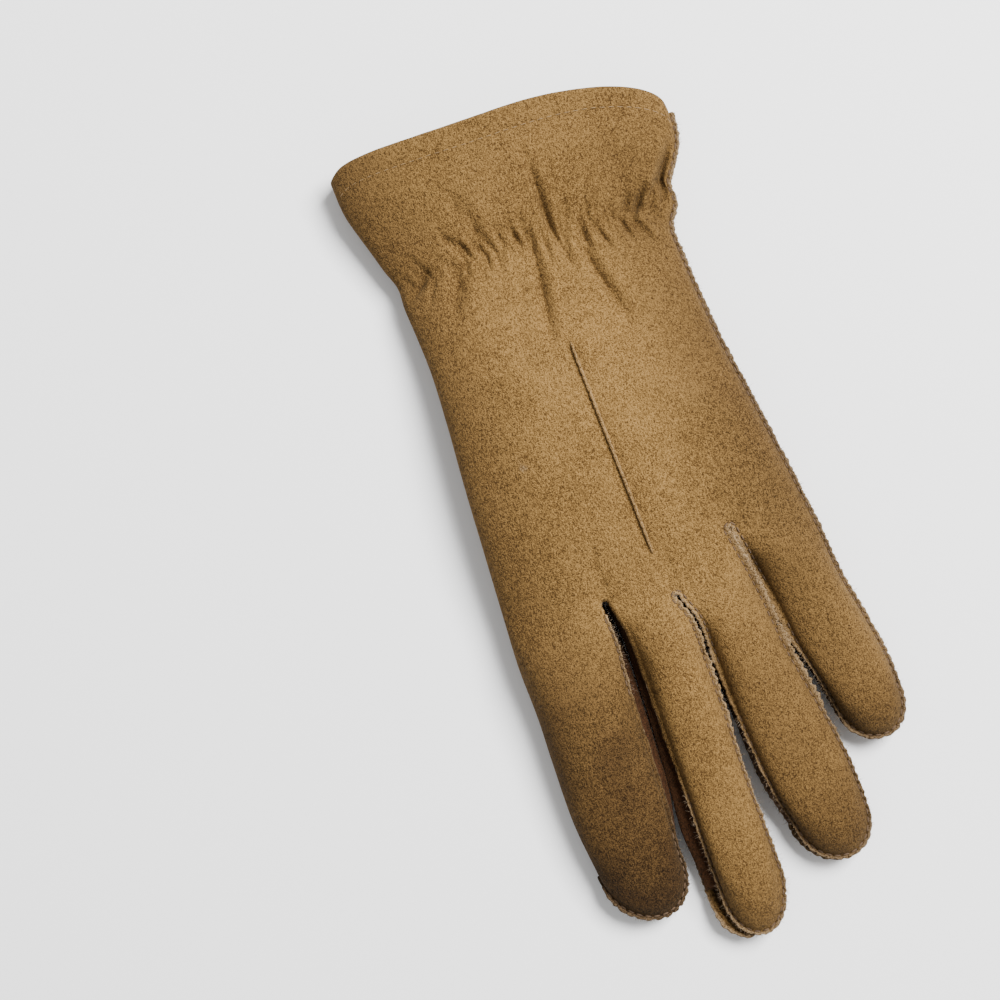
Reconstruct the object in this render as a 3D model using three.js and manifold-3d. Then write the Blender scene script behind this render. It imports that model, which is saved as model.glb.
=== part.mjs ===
// A left-hand suede dress glove, lying palm down with its thumb folded underneath.
// Millimetres. +X runs from the index side to the little-finger side, +Y from the fingertips to the cuff,
// +Z up, and the glove rests on Z = 0.
// Each piece is a sheet of leather: its outer face is laid out as a grid and then given its thickness.
import * as THREE from "three";
import Module from "manifold-3d";

const wasm = await Module();
wasm.setup();

// Driving sizes
const LEATHER = 1; // thickness of the suede
const GAP = 0.3; // clearance between two layers that are sewn together
const EDGE_REACH = 1.6; // how far the raw edges stand out from a seam
const EDGE_TILT = 0.4; // how far they also tilt up on the back, and down on the palm of a finger
const FORK_INSET = LEATHER + 1.5 * GAP; // from a seam line out to the face of the fourchette sewn in there
const FORK_TUCK = { along: 1.65, tip: 2, from: 0.75, over: 0.2 }; // how far under it the edge lies
const SEAM_HALF = LEATHER + GAP; // half the height of a seam where back meets palm
const HEM_DEPTH = 7; // the turned edge of the cuff, two layers thick
const CROWN = 2.5; // squareness of the hand's cross-section
const FINGER_CROWN = 2.2; // squareness of a finger's
const ROUND_SIDE = 0.5; // sharpness of a side where the leather wraps round or is seamed to itself
const FORK_SIDE = 0.72; // sharpness of a side with a fourchette
const ROOT_BLEND = 0.26; // share of a finger over which the hand's surface turns into its own
const TIP_ROUND = { from: 0.85, power: 7, sharpness: 0.6 }; // how a fingertip rounds off
const BACK_COLOUR = 0x96733f;
const FORK_COLOUR = 0x7d5d33;

// The cuff's edge, from the folded side to the sewn side
const CUFF_EDGE = [
  { x: -57, y: 120.5 },
  { x: -53, y: 122.8 },
  { x: -46, y: 123.9 },
  { x: -20, y: 124.3 },
  { x: 4, y: 124.7 },
  { x: 18, y: 123.4 },
  { x: 29, y: 121 },
  { x: 37, y: 117.8 },
  { x: 41.3, y: 114.6 },
  { x: 42.6, y: 111 },
];

// Sections across the hand, from the wrist to the knuckles: the two sides, the height of those sides,
// the top of the back and the underside of the palm. Below 0 the leather is pressed flat.
const HAND_SECTIONS = [
  { y: 111, fold: -56, seam: 42.6, side: 8.5, top: 18.5, base: -1 },
  { y: 104, fold: -53.9, seam: 42.2, side: 8.3, top: 17.6, base: -1 },
  { y: 98, fold: -51.8, seam: 39.6, side: 8, top: 16.6, base: -1 },
  { y: 92, fold: -49.8, seam: 36, side: 7.7, top: 15.4, base: -0.6 },
  { y: 86, fold: -47.5, seam: 36.2, side: 7.5, top: 14.8, base: -0.6 },
  { y: 80, fold: -47.4, seam: 33, side: 8, top: 15.8, base: -0.4 },
  { y: 72, fold: -46.6, seam: 33.3, side: 9, top: 18, base: 0.2 },
  { y: 60, fold: -45.6, seam: 34.3, side: 10.8, top: 20.8, base: 2.2 },
  { y: 45, fold: -45.6, seam: 36, side: 12.4, top: 23.2, base: 4 },
  { y: 25, fold: -46.2, seam: 39.7, side: 13, top: 24.4, base: 4.7 },
  { y: 5, fold: -46.5, seam: 43.5, side: 12.6, top: 24, base: 4.7 },
  { y: -15, fold: -46.8, seam: 47.1, side: 11, top: 21.6, base: 3.4 },
];

// Sections along a finger, as shares of the way from root to tip. Where a fourchette is sewn in, the back
// ends at upperSeam and the palm at lowerSeam.
const FINGER_HEIGHTS = [
  { share: 0, side: 10.5, top: 20.5, upperSeam: 17, lowerSeam: 4.2, base: 2 },
  { share: 0.25, side: 8, top: 18, upperSeam: 13, lowerSeam: 4, base: -0.6 },
  { share: 0.55, side: 7, top: 16.5, upperSeam: 12.3, lowerSeam: 4, base: -0.8 },
  { share: 0.8, side: 6.4, top: 15.2, upperSeam: 11, lowerSeam: 4, base: -0.8 },
  { share: 1, side: 6, top: 14, upperSeam: 8.4, lowerSeam: 4, base: -0.6 },
];

// Where neighbouring fingers part, and how far apart their seam lines start
const WEBS = [
  { x: -17.8, y: -16.7, width: 4.5 },
  { x: 2.4, y: -20.4, width: 4.3 },
  { x: 22.5, y: -6.5, width: 4.4 },
];

// Each finger: its sections down to where the tip starts to round off, its tip, how far its underside
// rolls sideways there, and how many grid columns cross it. A side is "fold" where the leather wraps
// round, "fork" where a fourchette is sewn in and "sewn" where back meets palm.
const FINGERS = [
  {
    name: "index",
    leftIs: "fold",
    rightIs: "fork",
    columns: 8,
    roll: 0,
    tip: { x: -28.5, y: -110.4 },
    sections: [
      { y: -30, left: -46.9, right: -18.6 },
      { y: -45, left: -46, right: -18.9 },
      { y: -60, left: -45.8, right: -18.8 },
      { y: -78, left: -45.2, right: -18.6 },
      { y: -94.5, left: -42.8, right: -19.2 },
    ],
  },
  {
    name: "middle",
    leftIs: "fork",
    rightIs: "fork",
    columns: 7,
    roll: -3.5,
    tip: { x: -1.5, y: -123.6 },
    sections: [
      { y: -30, left: -13, right: 3.4 },
      { y: -45, left: -12.1, right: 4.8 },
      { y: -60, left: -11.7, right: 5.4 },
      { y: -80, left: -10.9, right: 5.8 },
      { y: -95, left: -10.4, right: 6.8 },
      { y: -108, left: -9.7, right: 7.6 },
    ],
  },
  {
    name: "ring",
    leftIs: "fork",
    rightIs: "fork",
    columns: 7,
    roll: -1,
    tip: { x: 28, y: -109.6 },
    sections: [
      { y: -30, left: 7.6, right: 25.4 },
      { y: -45, left: 9.1, right: 27.6 },
      { y: -60, left: 10, right: 30.8 },
      { y: -75, left: 11.7, right: 34.3 },
      { y: -86, left: 13.6, right: 36.1 },
      { y: -96, left: 16.5, right: 36.9 },
    ],
  },
  {
    name: "little",
    leftIs: "fork",
    rightIs: "sewn",
    columns: 7,
    roll: 0,
    tip: { x: 48.6, y: -79.4 },
    sections: [
      { y: -31, left: 30, right: 49.7 },
      { y: -46, left: 32.4, right: 53.3 },
      { y: -58, left: 35.8, right: 55.7 },
      { y: -67, left: 38.1, right: 56.4 },
    ],
  },
];

// Grid rows, as shares of the way from cuff edge to knuckles and from finger root to tip
const WRIST_ROWS = [0, 0.055, 0.11, 0.16, 0.205, 0.24, 0.27, 0.3, 0.34, 0.39, 0.45];
const HAND_ROWS = [0.45, 0.53, 0.61, 0.69, 0.77, 0.84, 0.9, 0.95, 1];
const FINGER_ROWS = [0, 0.07, 0.16, 0.28, 0.42, 0.57, 0.71, 0.84, 0.94, 1];

// The elastic under the wrist gathers the leather into furrows, each from one point to another on the back
const FURROWS = [
  { x0: -1.4, y0: 110, x1: 1, y1: 89, depth: 2.6, width: 1.8 },
  { x0: -6.5, y0: 90, x1: -8.8, y1: 63, depth: 2.6, width: 1.8 },
  { x0: 7, y0: 84, x1: 13, y1: 61, depth: 2, width: 1.8 },
  { x0: 22.5, y0: 104, x1: 20.5, y1: 86, depth: 2.4, width: 3 },
  { x0: 24, y0: 81, x1: 33, y1: 68, depth: 1.4, width: 2 },
  { x0: -36, y0: 89.5, x1: -46, y1: 80, depth: 2.4, width: 2.2 },
  { x0: -28, y0: 90, x1: -35, y1: 71, depth: 1.3, width: 2.4 },
  { x0: -29.5, y0: 101, x1: -25, y1: 90, depth: 2, width: 2.6 },
  { x0: -19.5, y0: 106, x1: -17, y1: 89, depth: 1.4, width: 1.8 },
  { x0: 39, y0: 101, x1: 33.5, y1: 90, depth: 3, width: 1.7 },
  { x0: 12, y0: 97, x1: 14, y1: 84, depth: 1, width: 1.7 },
  { x0: -11, y0: 97, x1: -12, y1: 84, depth: 0.9, width: 1.7 },
];

// Smaller puckers lie across the elastic, which curves on the back and runs straight over the palm.
const BACK_PUCKERS = { count: 15, height: 0.45, reach: 6.5, x: -8, y: 88, bend: 0.0025 };
const PALM_PUCKERS = { count: 15, height: 0.7, lift: 1.1, reach: 13, y: 86, end: 0.3, fade: 0.15 };

// Just short of the webs the hand dips between two fingers.
const VALLEYS = { start: 0.84, over: 0.2, width: 0.04, backDepth: 3.4, palmDepth: 1.2 };

// The raised tuck sewn down the back, at a fixed share of the hand's width
const TUCK = { across: 0.477, start: 0.475, end: 0.91, radius: 1 };

// The thumb is a tube from an oval hole in the palm, down, forward and flat under the hand.
// fwd is measured towards its tip, pitch turns a section from level (0) to upright (90).
const THUMB_HOLE = { x: -24.5, y: 41, long: 13.3, wide: 12.3, bottom: -2, top: 16 };
const THUMB_HEADING = THREE.MathUtils.degToRad(-60);
const THUMB_SECTIONS = [
  { fwd: 0, z: 11.6, pitch: 0, long: 13, wide: 12 },
  { fwd: 0, z: 9.3, pitch: 0, long: 13, wide: 12 },
  { fwd: 2, z: 5.2, pitch: 18, long: 11.4, wide: 12.4 },
  { fwd: 7.6, z: 4.3, pitch: 38, long: 7, wide: 13 },
  { fwd: 11.2, z: 4.3, pitch: 64, long: 4.8, wide: 13.4 },
  { fwd: 14.5, z: 4.1, pitch: 90, long: 4.3, wide: 13.6 },
  { fwd: 23, z: 4, pitch: 90, long: 4.3, wide: 13.8 },
  { fwd: 33, z: 4, pitch: 90, long: 4.3, wide: 13.8 },
  { fwd: 41, z: 3.9, pitch: 90, long: 4.2, wide: 13.2 },
  { fwd: 47, z: 3.9, pitch: 90, long: 4.1, wide: 11.6 },
  { fwd: 51.5, z: 3.8, pitch: 90, long: 3.8, wide: 9 },
  { fwd: 54.5, z: 3.5, pitch: 90, long: 3.2, wide: 5.6 },
  { fwd: 55.8, z: 3.2, pitch: 90, long: 2.2, wide: 2.8 },
];
const THUMB_SIDES = 16;

// The palm lies over the thumb at this height, and further out comes down to the surface.
const DRAPE = { height: 9.5, half: 14.6, length: 42, beyond: 16, slack: 1 };

// Small sums
const mix = (a, b, k) => a + (b - a) * k;
const clamp = (k) => Math.min(1, Math.max(0, k));
const ease = (k) => clamp(k) ** 2 * (3 - 2 * clamp(k));
const bump = (k) => Math.exp(-(k ** 2));
const arch = (s, squareness, sharpness) => (1 - Math.abs(2 * s - 1) ** squareness) ** sharpness;
const plan = (x, y) => new THREE.Vector3(x, y, 0);

// A column of a table as a smooth function of another column.
function along(table, key, column) {
  const rows = [...table].sort((a, b) => a[key] - b[key]);
  return (value) => {
    const above = rows.findIndex((row) => row[key] >= value);
    if (above <= 0) return (above ? rows.at(-1) : rows[0])[column];
    const [low, high] = [rows[above - 1], rows[above]];
    const k = (value - low[key]) / (high[key] - low[key]);
    return mix(low[column], high[column], (ease(k) + k) / 2);
  };
}

// A curve through points in plan, as a function of the share of its length.
function through(points) {
  const curve = new THREE.CatmullRomCurve3(points, false, "centripetal");
  return (share) => curve.getPointAt(clamp(share));
}

// A patch between four curves, as a function of the share across and the share down.
function patch(head, foot, left, right) {
  const corners = [head(0), head(1), foot(0), foot(1)];
  return (s, t) => {
    const p = head(s).multiplyScalar(1 - t).addScaledVector(foot(s), t);
    p.addScaledVector(left(t), 1 - s).addScaledVector(right(t), s);
    p.addScaledVector(corners[0], -(1 - s) * (1 - t)).addScaledVector(corners[1], -s * (1 - t));
    return p.addScaledVector(corners[2], -(1 - s) * t).addScaledVector(corners[3], -s * t);
  };
}

// Layout in plan

const cuffEdge = through(CUFF_EDGE.map(({ x, y }) => plan(x, y)));
const handFold = HAND_SECTIONS.map(({ y, fold }) => plan(fold, y));
const handSeam = HAND_SECTIONS.map(({ y, seam }) => plan(seam, y));
const foldSide = through([cuffEdge(0), ...handFold]);
const sewnSide = through(handSeam);

// The knuckle line runs through the finger roots, with a short web between each two fingers.
const webEnds = WEBS.flatMap(({ x, y, width }) => [plan(x - width / 2, y), plan(x + width / 2, y)]);
const roots = [handFold.at(-1), ...webEnds, handSeam.at(-1)];
const lengths = roots.slice(1).map((root, i) => root.distanceTo(roots[i]));
const total = lengths.reduce((sum, length) => sum + length);
const rootShares = [0];
for (const length of lengths) rootShares.push(rootShares.at(-1) + length / total);

function knuckleLine(share) {
  const i = Math.max(1, rootShares.findIndex((end) => end >= share - 1e-9));
  const k = (share - rootShares[i - 1]) / (rootShares[i] - rootShares[i - 1]);
  return roots[i - 1].clone().lerp(roots[i], k);
}

// Shares across a finger at its grid columns, which are closer together beside a fold or a side seam.
function spread({ columns, leftIs, rightIs }) {
  const even = Array.from({ length: columns + 1 }, (_, j) => j / columns);
  if (leftIs === "fold") return even.map((s) => s ** 1.35);
  if (rightIs === "sewn") return even.map((s) => 1 - (1 - s) ** 1.35);
  return even;
}

// The same columns across the whole hand, and twice as many for the wrist
const acrossHand = (i, s) => mix(rootShares[2 * i], rootShares[2 * i + 1], s);
const columns = FINGERS.flatMap((finger, i) => spread(finger).map((s) => acrossHand(i, s)));
const fineColumns = columns.flatMap((s, j) => (j ? [(columns[j - 1] + s) / 2, s] : [s]));

const handPlan = patch(cuffEdge, knuckleLine, foldSide, sewnSide);

// The end of a finger is half an ellipse through its tip.
function fingertip(left, right, tip) {
  const middle = left.clone().lerp(right, 0.5);
  const [half, down] = [left.clone().sub(middle), plan(tip.x, tip.y).sub(middle)];
  return (share) => {
    const turn = Math.PI * share;
    const p = middle.clone().addScaledVector(half, Math.cos(turn));
    return p.addScaledVector(down, Math.sin(turn) ** 0.92);
  };
}

const fingerPlans = FINGERS.map(({ sections, tip }, i) => {
  const left = [roots[2 * i], ...sections.map((section) => plan(section.left, section.y))];
  const right = [roots[2 * i + 1], ...sections.map((section) => plan(section.right, section.y))];
  const root = (s) => knuckleLine(acrossHand(i, s));
  return patch(root, fingertip(left.at(-1), right.at(-1), tip), through(left), through(right));
});

// Heights of the back and the palm

const sideZ = along(HAND_SECTIONS, "y", "side");
const topZ = along(HAND_SECTIONS, "y", "top");
const baseZ = along(HAND_SECTIONS, "y", "base");
const fingerZ = {};
for (const key of ["side", "top", "upperSeam", "lowerSeam", "base"])
  fingerZ[key] = along(FINGER_HEIGHTS, "share", key);

const thumbAxis = plan(Math.cos(THUMB_HEADING), Math.sin(THUMB_HEADING));
const thumbRoot = plan(THUMB_HOLE.x, THUMB_HOLE.y);
const thumbLine = new THREE.Line3(thumbRoot, thumbRoot.clone().addScaledVector(thumbAxis, DRAPE.length));

// Height to which the thumb holds up the palm above a point in plan.
function thumbLift(p) {
  const spot = plan(p.x, p.y);
  const away = spot.distanceTo(thumbLine.closestPointToPoint(spot, true, new THREE.Vector3()));
  return mix(DRAPE.height, -DRAPE.slack, ease((away - DRAPE.half) / DRAPE.beyond));
}

const furrowLines = FURROWS.map(({ x0, y0, x1, y1 }) => new THREE.Line3(plan(x0, y0), plan(x1, y1)));

// How deep the furrows and puckers of the gathered wrist are at a point in plan, and a share across it.
function gathers(p, s) {
  const spot = plan(p.x, p.y);
  const elastic = BACK_PUCKERS.y - BACK_PUCKERS.bend * (p.x - BACK_PUCKERS.x) ** 2;
  const near = bump((p.y - elastic) / BACK_PUCKERS.reach);
  let depth = -BACK_PUCKERS.height * near * Math.cos(2 * Math.PI * BACK_PUCKERS.count * s);
  FURROWS.forEach((furrow, i) => {
    const share = furrowLines[i].closestPointToPointParameter(spot, true);
    const away = spot.distanceTo(furrowLines[i].at(share, new THREE.Vector3()));
    const fade = Math.sin(Math.PI * mix(0.12, 0.88, share));
    depth += furrow.depth * fade * bump(away / furrow.width);
  });
  return depth * ease(4 * (1 - s)) * ease(12 * s);
}

// How far the dip between two fingers has come at a share across and down the hand.
function valley(s, t) {
  const webs = WEBS.map((_, i) => (rootShares[2 * i + 1] + rootShares[2 * i + 2]) / 2);
  const dips = webs.map((web) => bump((s - web) / VALLEYS.width));
  return dips.reduce((sum, dip) => sum + dip) * ease((t - VALLEYS.start) / VALLEYS.over);
}

function handBack(s, t) {
  const p = handPlan(s, t);
  const edge = sideZ(p.y) + SEAM_HALF * ease(s * 2);
  p.z = mix(edge, topZ(p.y), arch(s, CROWN, 0.5)) - VALLEYS.backDepth * valley(s, t) - gathers(p, s);
  return p;
}

function handPalm(s, t) {
  const p = handPlan(s, t);
  const edge = sideZ(p.y) - SEAM_HALF * ease(s * 2);
  const base = Math.max(baseZ(p.y), thumbLift(p));
  p.z = mix(edge, base, arch(s, CROWN, 0.5)) + VALLEYS.palmDepth * valley(s, t);
  const { count, height, lift, reach, y, end, fade } = PALM_PUCKERS;
  const pucker = height * Math.cos(Math.PI * count * s) * (1 - ease((t - end) / fade));
  p.z = Math.max(0, p.z + (lift + pucker) * bump((p.y - y) / reach) * arch(s, 2, 1));
  return p;
}

// Height of one edge of a finger's back (+1) or palm (-1) panel.
function fingerEdge(kind, t, face, opened) {
  if (kind === "fork") return face > 0 ? fingerZ.upperSeam(t) : fingerZ.lowerSeam(t);
  return fingerZ.side(t) + face * SEAM_HALF * opened;
}

// A finger's back (+1) or palm (-1) panel. It leaves the knuckle line as the hand's own surface.
function fingerFace(i, face) {
  const { leftIs, rightIs, roll } = FINGERS[i];
  const hand = face > 0 ? handBack : handPalm;
  return (s, t) => {
    const p = fingerPlans[i](s, t);
    if (face < 0) p.x += roll * ease((t - 0.35) / 0.5);
    const opened = ease(s * 8) * ease((t - 0.9) * 10);
    const left = fingerEdge(leftIs, t, face, opened);
    const right = fingerEdge(rightIs, t, face, 1);
    const tipEdge = fingerZ.side(1) + face * SEAM_HALF * (leftIs === "fold" ? opened : 1);
    const towardTip = ease(6 * Math.min(s, 1 - s)) * ease((t - TIP_ROUND.from) / (1 - TIP_ROUND.from));
    const edge = mix(mix(left, right, s), tipEdge, towardTip);
    const sharpness = (s < 0.5 ? leftIs : rightIs) === "fork" ? FORK_SIDE : ROUND_SIDE;
    const crown = face > 0 ? fingerZ.top(t) : fingerZ.base(t);
    const narrow = (1 - t ** TIP_ROUND.power) ** TIP_ROUND.sharpness;
    const own = mix(edge, crown, arch(s, FINGER_CROWN, sharpness) * narrow);
    p.z = Math.max(0, mix(hand(acrossHand(i, s), 1).z, own, ease(t / ROOT_BLEND)));
    return p;
  };
}

// Sheets of leather

class Sheet {
  points = [];
  triangles = [];
  known = new Map();

  vertex(p) {
    const key = [p.x, p.y, p.z].map((value) => Math.round(value * 1e4)).join();
    if (!this.known.has(key)) {
      this.known.set(key, this.points.length);
      this.points.push(p.clone());
    }
    return this.known.get(key);
  }

  // Adds a polygon of three or four corners, turned over where flip is set.
  face(corners, flip) {
    const ids = corners.map((p) => this.vertex(p));
    if (flip) ids.reverse();
    for (let i = 2; i < ids.length; i++) {
      const triangle = [ids[0], ids[i - 1], ids[i]];
      if (new Set(triangle).size === 3) this.triangles.push(triangle);
    }
  }

  // Adds a grid of rows of points.
  grid(rows, flip) {
    for (let i = 1; i < rows.length; i++)
      for (let j = 1; j < rows[i].length; j++)
        this.face([rows[i - 1][j - 1], rows[i][j - 1], rows[i][j], rows[i - 1][j]], flip);
  }

  // Joins a row to one with half as many columns.
  halve(fine, coarse, flip) {
    for (let j = 1; j < coarse.length; j++) {
      const [a, b, c] = fine.slice(2 * j - 2, 2 * j + 1);
      this.face([a, coarse[j - 1], b], flip);
      this.face([coarse[j - 1], coarse[j], b], flip);
      this.face([b, coarse[j], c], flip);
    }
  }

  // The way in at each point, long enough for an even thickness across creases.
  inward() {
    const corners = (ids) => ids.map((id) => this.points[id]);
    const sums = this.points.map(() => new THREE.Vector3());
    const fans = this.points.map(() => []);
    for (const ids of this.triangles) {
      const normal = new THREE.Triangle(...corners(ids)).getNormal(new THREE.Vector3());
      ids.forEach((id, k) => {
        const [at, next, last] = corners([id, ids[(k + 1) % 3], ids[(k + 2) % 3]]);
        sums[id].addScaledVector(normal, next.clone().sub(at).angleTo(last.clone().sub(at)));
        fans[id].push(normal);
      });
    }
    return sums.map((sum, id) => {
      const normal = sum.normalize();
      const steepest = Math.min(...fans[id].map((other) => other.dot(normal)));
      return normal.divideScalar(-Math.max(0.55, steepest));
    });
  }

  // The closed solid between this outer face and one that lies thickness(point) further in.
  solid(thickness) {
    const ways = this.inward();
    const inner = this.points.map((p, id) => p.clone().addScaledVector(ways[id], thickness(p)));
    const count = this.points.length;
    const triangles = [...this.triangles];
    const edges = new Map();
    for (const [a, b, c] of this.triangles) {
      triangles.push([a + count, c + count, b + count]);
      for (const [from, to] of [[a, b], [b, c], [c, a]]) edges.set(`${from},${to}`, [from, to]);
    }
    for (const [from, to] of edges.values()) {
      if (edges.has(`${to},${from}`)) continue;
      triangles.push([to, from, from + count], [to, from + count, to + count]);
    }
    return manifoldOf([...this.points, ...inner], triangles);
  }
}

function manifoldOf(points, triangles) {
  const vertProperties = new Float32Array(points.flatMap((p) => p.toArray()));
  const triVerts = new Uint32Array(triangles.flat());
  return new wasm.Manifold(new wasm.Mesh({ numProp: 3, vertProperties, triVerts }));
}

function solidOf(geometry) {
  const corners = geometry.getAttribute("position");
  const merged = new Sheet();
  for (let i = 0; i < corners.count; i += 3)
    merged.face([i, i + 1, i + 2].map((k) => new THREE.Vector3().fromBufferAttribute(corners, k)));
  return manifoldOf(merged.points, merged.triangles);
}

// The trank: back and palm cut as one piece, folded along the index side

// The edge of the back or palm panel from the index fingertip round every finger to the cuff. closed is 0
// where a fourchette is sewn in and 1 where back meets palm, and tip marks the ends of each fingertip.
function seamLine(handFace, fingerFaces) {
  const line = [];
  const sides = FINGER_ROWS.slice(0, -1);
  FINGERS.forEach((finger, i) => {
    const face = fingerFaces[i];
    if (finger.leftIs === "fork") for (const t of sides) line.push({ at: face(0, t), closed: 0, share: t });
    for (const s of spread(finger)) {
      const fromLeft = finger.leftIs === "fork" ? s : 1;
      const fromRight = finger.rightIs === "fork" ? 1 - s : 1;
      const closed = ease(5 * Math.min(fromLeft, fromRight));
      line.push({ at: face(s, 1), closed, share: 1, tip: s === 0 || s === 1 });
    }
    const closed = finger.rightIs === "fork" ? 0 : 1;
    for (const t of sides.toReversed()) line.push({ at: face(1, t), closed, share: t });
  });
  const upTheHand = [...WRIST_ROWS, ...HAND_ROWS.slice(1, -1)].reverse();
  for (const t of upTheHand) line.push({ at: handFace(1, t), closed: 1, share: t });
  return line;
}

// The way out of the panel at each point of a seam line, long enough to keep an even distance at corners.
function outward(line) {
  const normals = line.slice(1).map(({ at }, i) => {
    const step = at.clone().sub(line[i].at);
    return plan(step.y, -step.x).normalize();
  });
  return line.map((_, i) => {
    const [before, after] = [normals[Math.max(0, i - 1)], normals[Math.min(normals.length - 1, i)]];
    const middle = before.clone().add(after).normalize();
    return middle.divideScalar(Math.max(0.6, middle.dot(after)));
  });
}

// Turns out the raw edge along a seam line. One sewn to a fourchette tilts away from the other panel, and
// those of back and palm lie together, tilted up. The edge starts from nothing at the fold.
function addRawEdge(sheet, line, face) {
  const outs = outward(line);
  const rim = line.map(({ at, closed }, i) => {
    const size = clamp(i / 2);
    const p = at.clone().addScaledVector(outs[i], size * EDGE_REACH);
    p.z += size * EDGE_TILT * mix(face, 1, closed);
    return p;
  });
  sheet.grid([line.map(({ at }) => at), rim], face < 0);
}

function addPanel(sheet, handFace, fingerFaces, face, wristColumns) {
  const flip = face < 0;
  const rowOf = (surface, shares, t) => shares.map((s) => surface(s, t));
  const wristRows = WRIST_ROWS.slice(0, -1).map((t) => rowOf(handFace, wristColumns, t));
  const handRows = HAND_ROWS.map((t) => rowOf(handFace, columns, t));
  if (wristColumns === columns) wristRows.push(handRows[0]);
  else sheet.halve(wristRows.at(-1), handRows[0], flip);
  sheet.grid(wristRows, flip);
  sheet.grid(handRows, flip);
  FINGERS.forEach((finger, i) => {
    const rows = FINGER_ROWS.map((t) => rowOf(fingerFaces[i], spread(finger), t));
    sheet.grid(rows, flip);
  });
}

const backFaces = FINGERS.map((_, i) => fingerFace(i, 1));
const palmFaces = FINGERS.map((_, i) => fingerFace(i, -1));
const backSeam = seamLine(handBack, backFaces);
const palmSeam = seamLine(handPalm, palmFaces);

function makeTrank() {
  const sheet = new Sheet();
  addPanel(sheet, handBack, backFaces, 1, fineColumns);
  addPanel(sheet, handPalm, palmFaces, -1, columns);
  addRawEdge(sheet, backSeam, 1);
  addRawEdge(sheet, palmSeam, -1);
  const steps = 40;
  const cuffLine = Array.from({ length: steps + 1 }, (_, i) => cuffEdge(i / steps));
  const isHem = (p) => cuffLine.some((q) => q.distanceTo(plan(p.x, p.y)) < HEM_DEPTH);
  return sheet.solid((p) => (isHem(p) ? 2 * LEATHER : LEATHER));
}

// The tuck is a narrow ridge that follows the back.
function makeTuck() {
  const steps = 9;
  const path = Array.from({ length: steps + 1 }, (_, i) => {
    const p = handBack(TUCK.across, mix(TUCK.start, TUCK.end, i / steps));
    p.z -= LEATHER * mix(0.5, 0.9, Math.abs((2 * i) / steps - 1) ** 4);
    return p;
  });
  const section = new THREE.Shape().absarc(0, 0, TUCK.radius, 0, 2 * Math.PI);
  const extrudePath = new THREE.CatmullRomCurve3(path);
  return solidOf(new THREE.ExtrudeGeometry(section, { steps: 2 * steps, extrudePath, curveSegments: 4 }));
}

function makeThumbHole() {
  const oval = new THREE.Shape().absellipse(0, 0, THUMB_HOLE.long, THUMB_HOLE.wide, 0, 2 * Math.PI);
  const depth = THUMB_HOLE.top - THUMB_HOLE.bottom;
  const plug = new THREE.ExtrudeGeometry(oval, { depth, bevelEnabled: false, curveSegments: 14 });
  return solidOf(plug.rotateZ(THUMB_HEADING).translate(THUMB_HOLE.x, THUMB_HOLE.y, THUMB_HOLE.bottom));
}

// A fourchette: a strip down the side of finger i, round the web and up the side of the next finger. Its
// edges are sewn in under the raw edges of the back and the palm.
function makeFourchette(i) {
  const tips = backSeam.flatMap(({ tip }, k) => (tip ? [k] : []));
  const [first, last] = [tips[2 * i + 1], tips[2 * i + 2]];
  const edgeOf = (seam, face) => {
    const part = seam.slice(first, last + 1);
    const outs = outward(part);
    return part.map(({ at, share }, k) => {
      const towardTip = ease((share - FORK_TUCK.from) / FORK_TUCK.over);
      const under = mix(FORK_TUCK.along, FORK_TUCK.tip, towardTip);
      return at.clone().addScaledVector(outs[k], FORK_INSET).setZ(at.z - face * under);
    });
  };
  const [upper, lower] = [edgeOf(backSeam, 1), edgeOf(palmSeam, -1)];
  const rows = upper.map((top, k) => [top, top.clone().lerp(lower[k], 0.5), lower[k]]);
  const sheet = new Sheet();
  sheet.grid(rows, true);
  return sheet.solid(() => LEATHER);
}

function makeThumb() {
  const up = new THREE.Vector3(0, 0, 1);
  const across = up.clone().cross(thumbAxis);
  const rings = THUMB_SECTIONS.map(({ fwd, z, pitch, long, wide }) => {
    const lengthwise = thumbAxis.clone().applyAxisAngle(across, -THREE.MathUtils.degToRad(pitch));
    const centre = thumbRoot.clone().addScaledVector(thumbAxis, fwd).setZ(z);
    const squared = (value) => Math.sign(value) * Math.abs(value) ** mix(1, 0.85, pitch / 90);
    return Array.from({ length: THUMB_SIDES + 1 }, (_, j) => {
      const angle = (2 * Math.PI * (j % THUMB_SIDES)) / THUMB_SIDES;
      const p = centre.clone().addScaledVector(lengthwise, long * squared(Math.cos(angle)));
      p.addScaledVector(across, wide * squared(Math.sin(angle)));
      p.z = Math.max(0, p.z);
      return p;
    });
  });
  const { fwd, z } = THUMB_SECTIONS.at(-1);
  const end = thumbRoot.clone().addScaledVector(thumbAxis, fwd + GAP).setZ(z);
  rings.push(rings.at(-1).map(() => end));
  const sheet = new Sheet();
  sheet.grid(rings, false);
  return sheet.solid(() => LEATHER);
}

// Assembly

function meshOf(name, solid, color) {
  const { vertProperties, triVerts } = solid.getMesh();
  const geometry = new THREE.BufferGeometry();
  geometry.setAttribute("position", new THREE.BufferAttribute(vertProperties, 3));
  geometry.setIndex(new THREE.BufferAttribute(triVerts, 1));
  geometry.computeVertexNormals();
  const suede = new THREE.MeshStandardMaterial({ color, roughness: 0.95, metalness: 0 });
  const mesh = new THREE.Mesh(geometry, suede);
  mesh.name = name;
  return mesh;
}

const glove = new THREE.Group();
glove.add(meshOf("trank", makeTrank().add(makeTuck()).subtract(makeThumbHole()), BACK_COLOUR));
WEBS.forEach((_, i) => {
  const name = `fourchette_${FINGERS[i].name}_${FINGERS[i + 1].name}`;
  glove.add(meshOf(name, makeFourchette(i), FORK_COLOUR));
});
glove.add(meshOf("thumb", makeThumb(), BACK_COLOUR));

export default glove;
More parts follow.
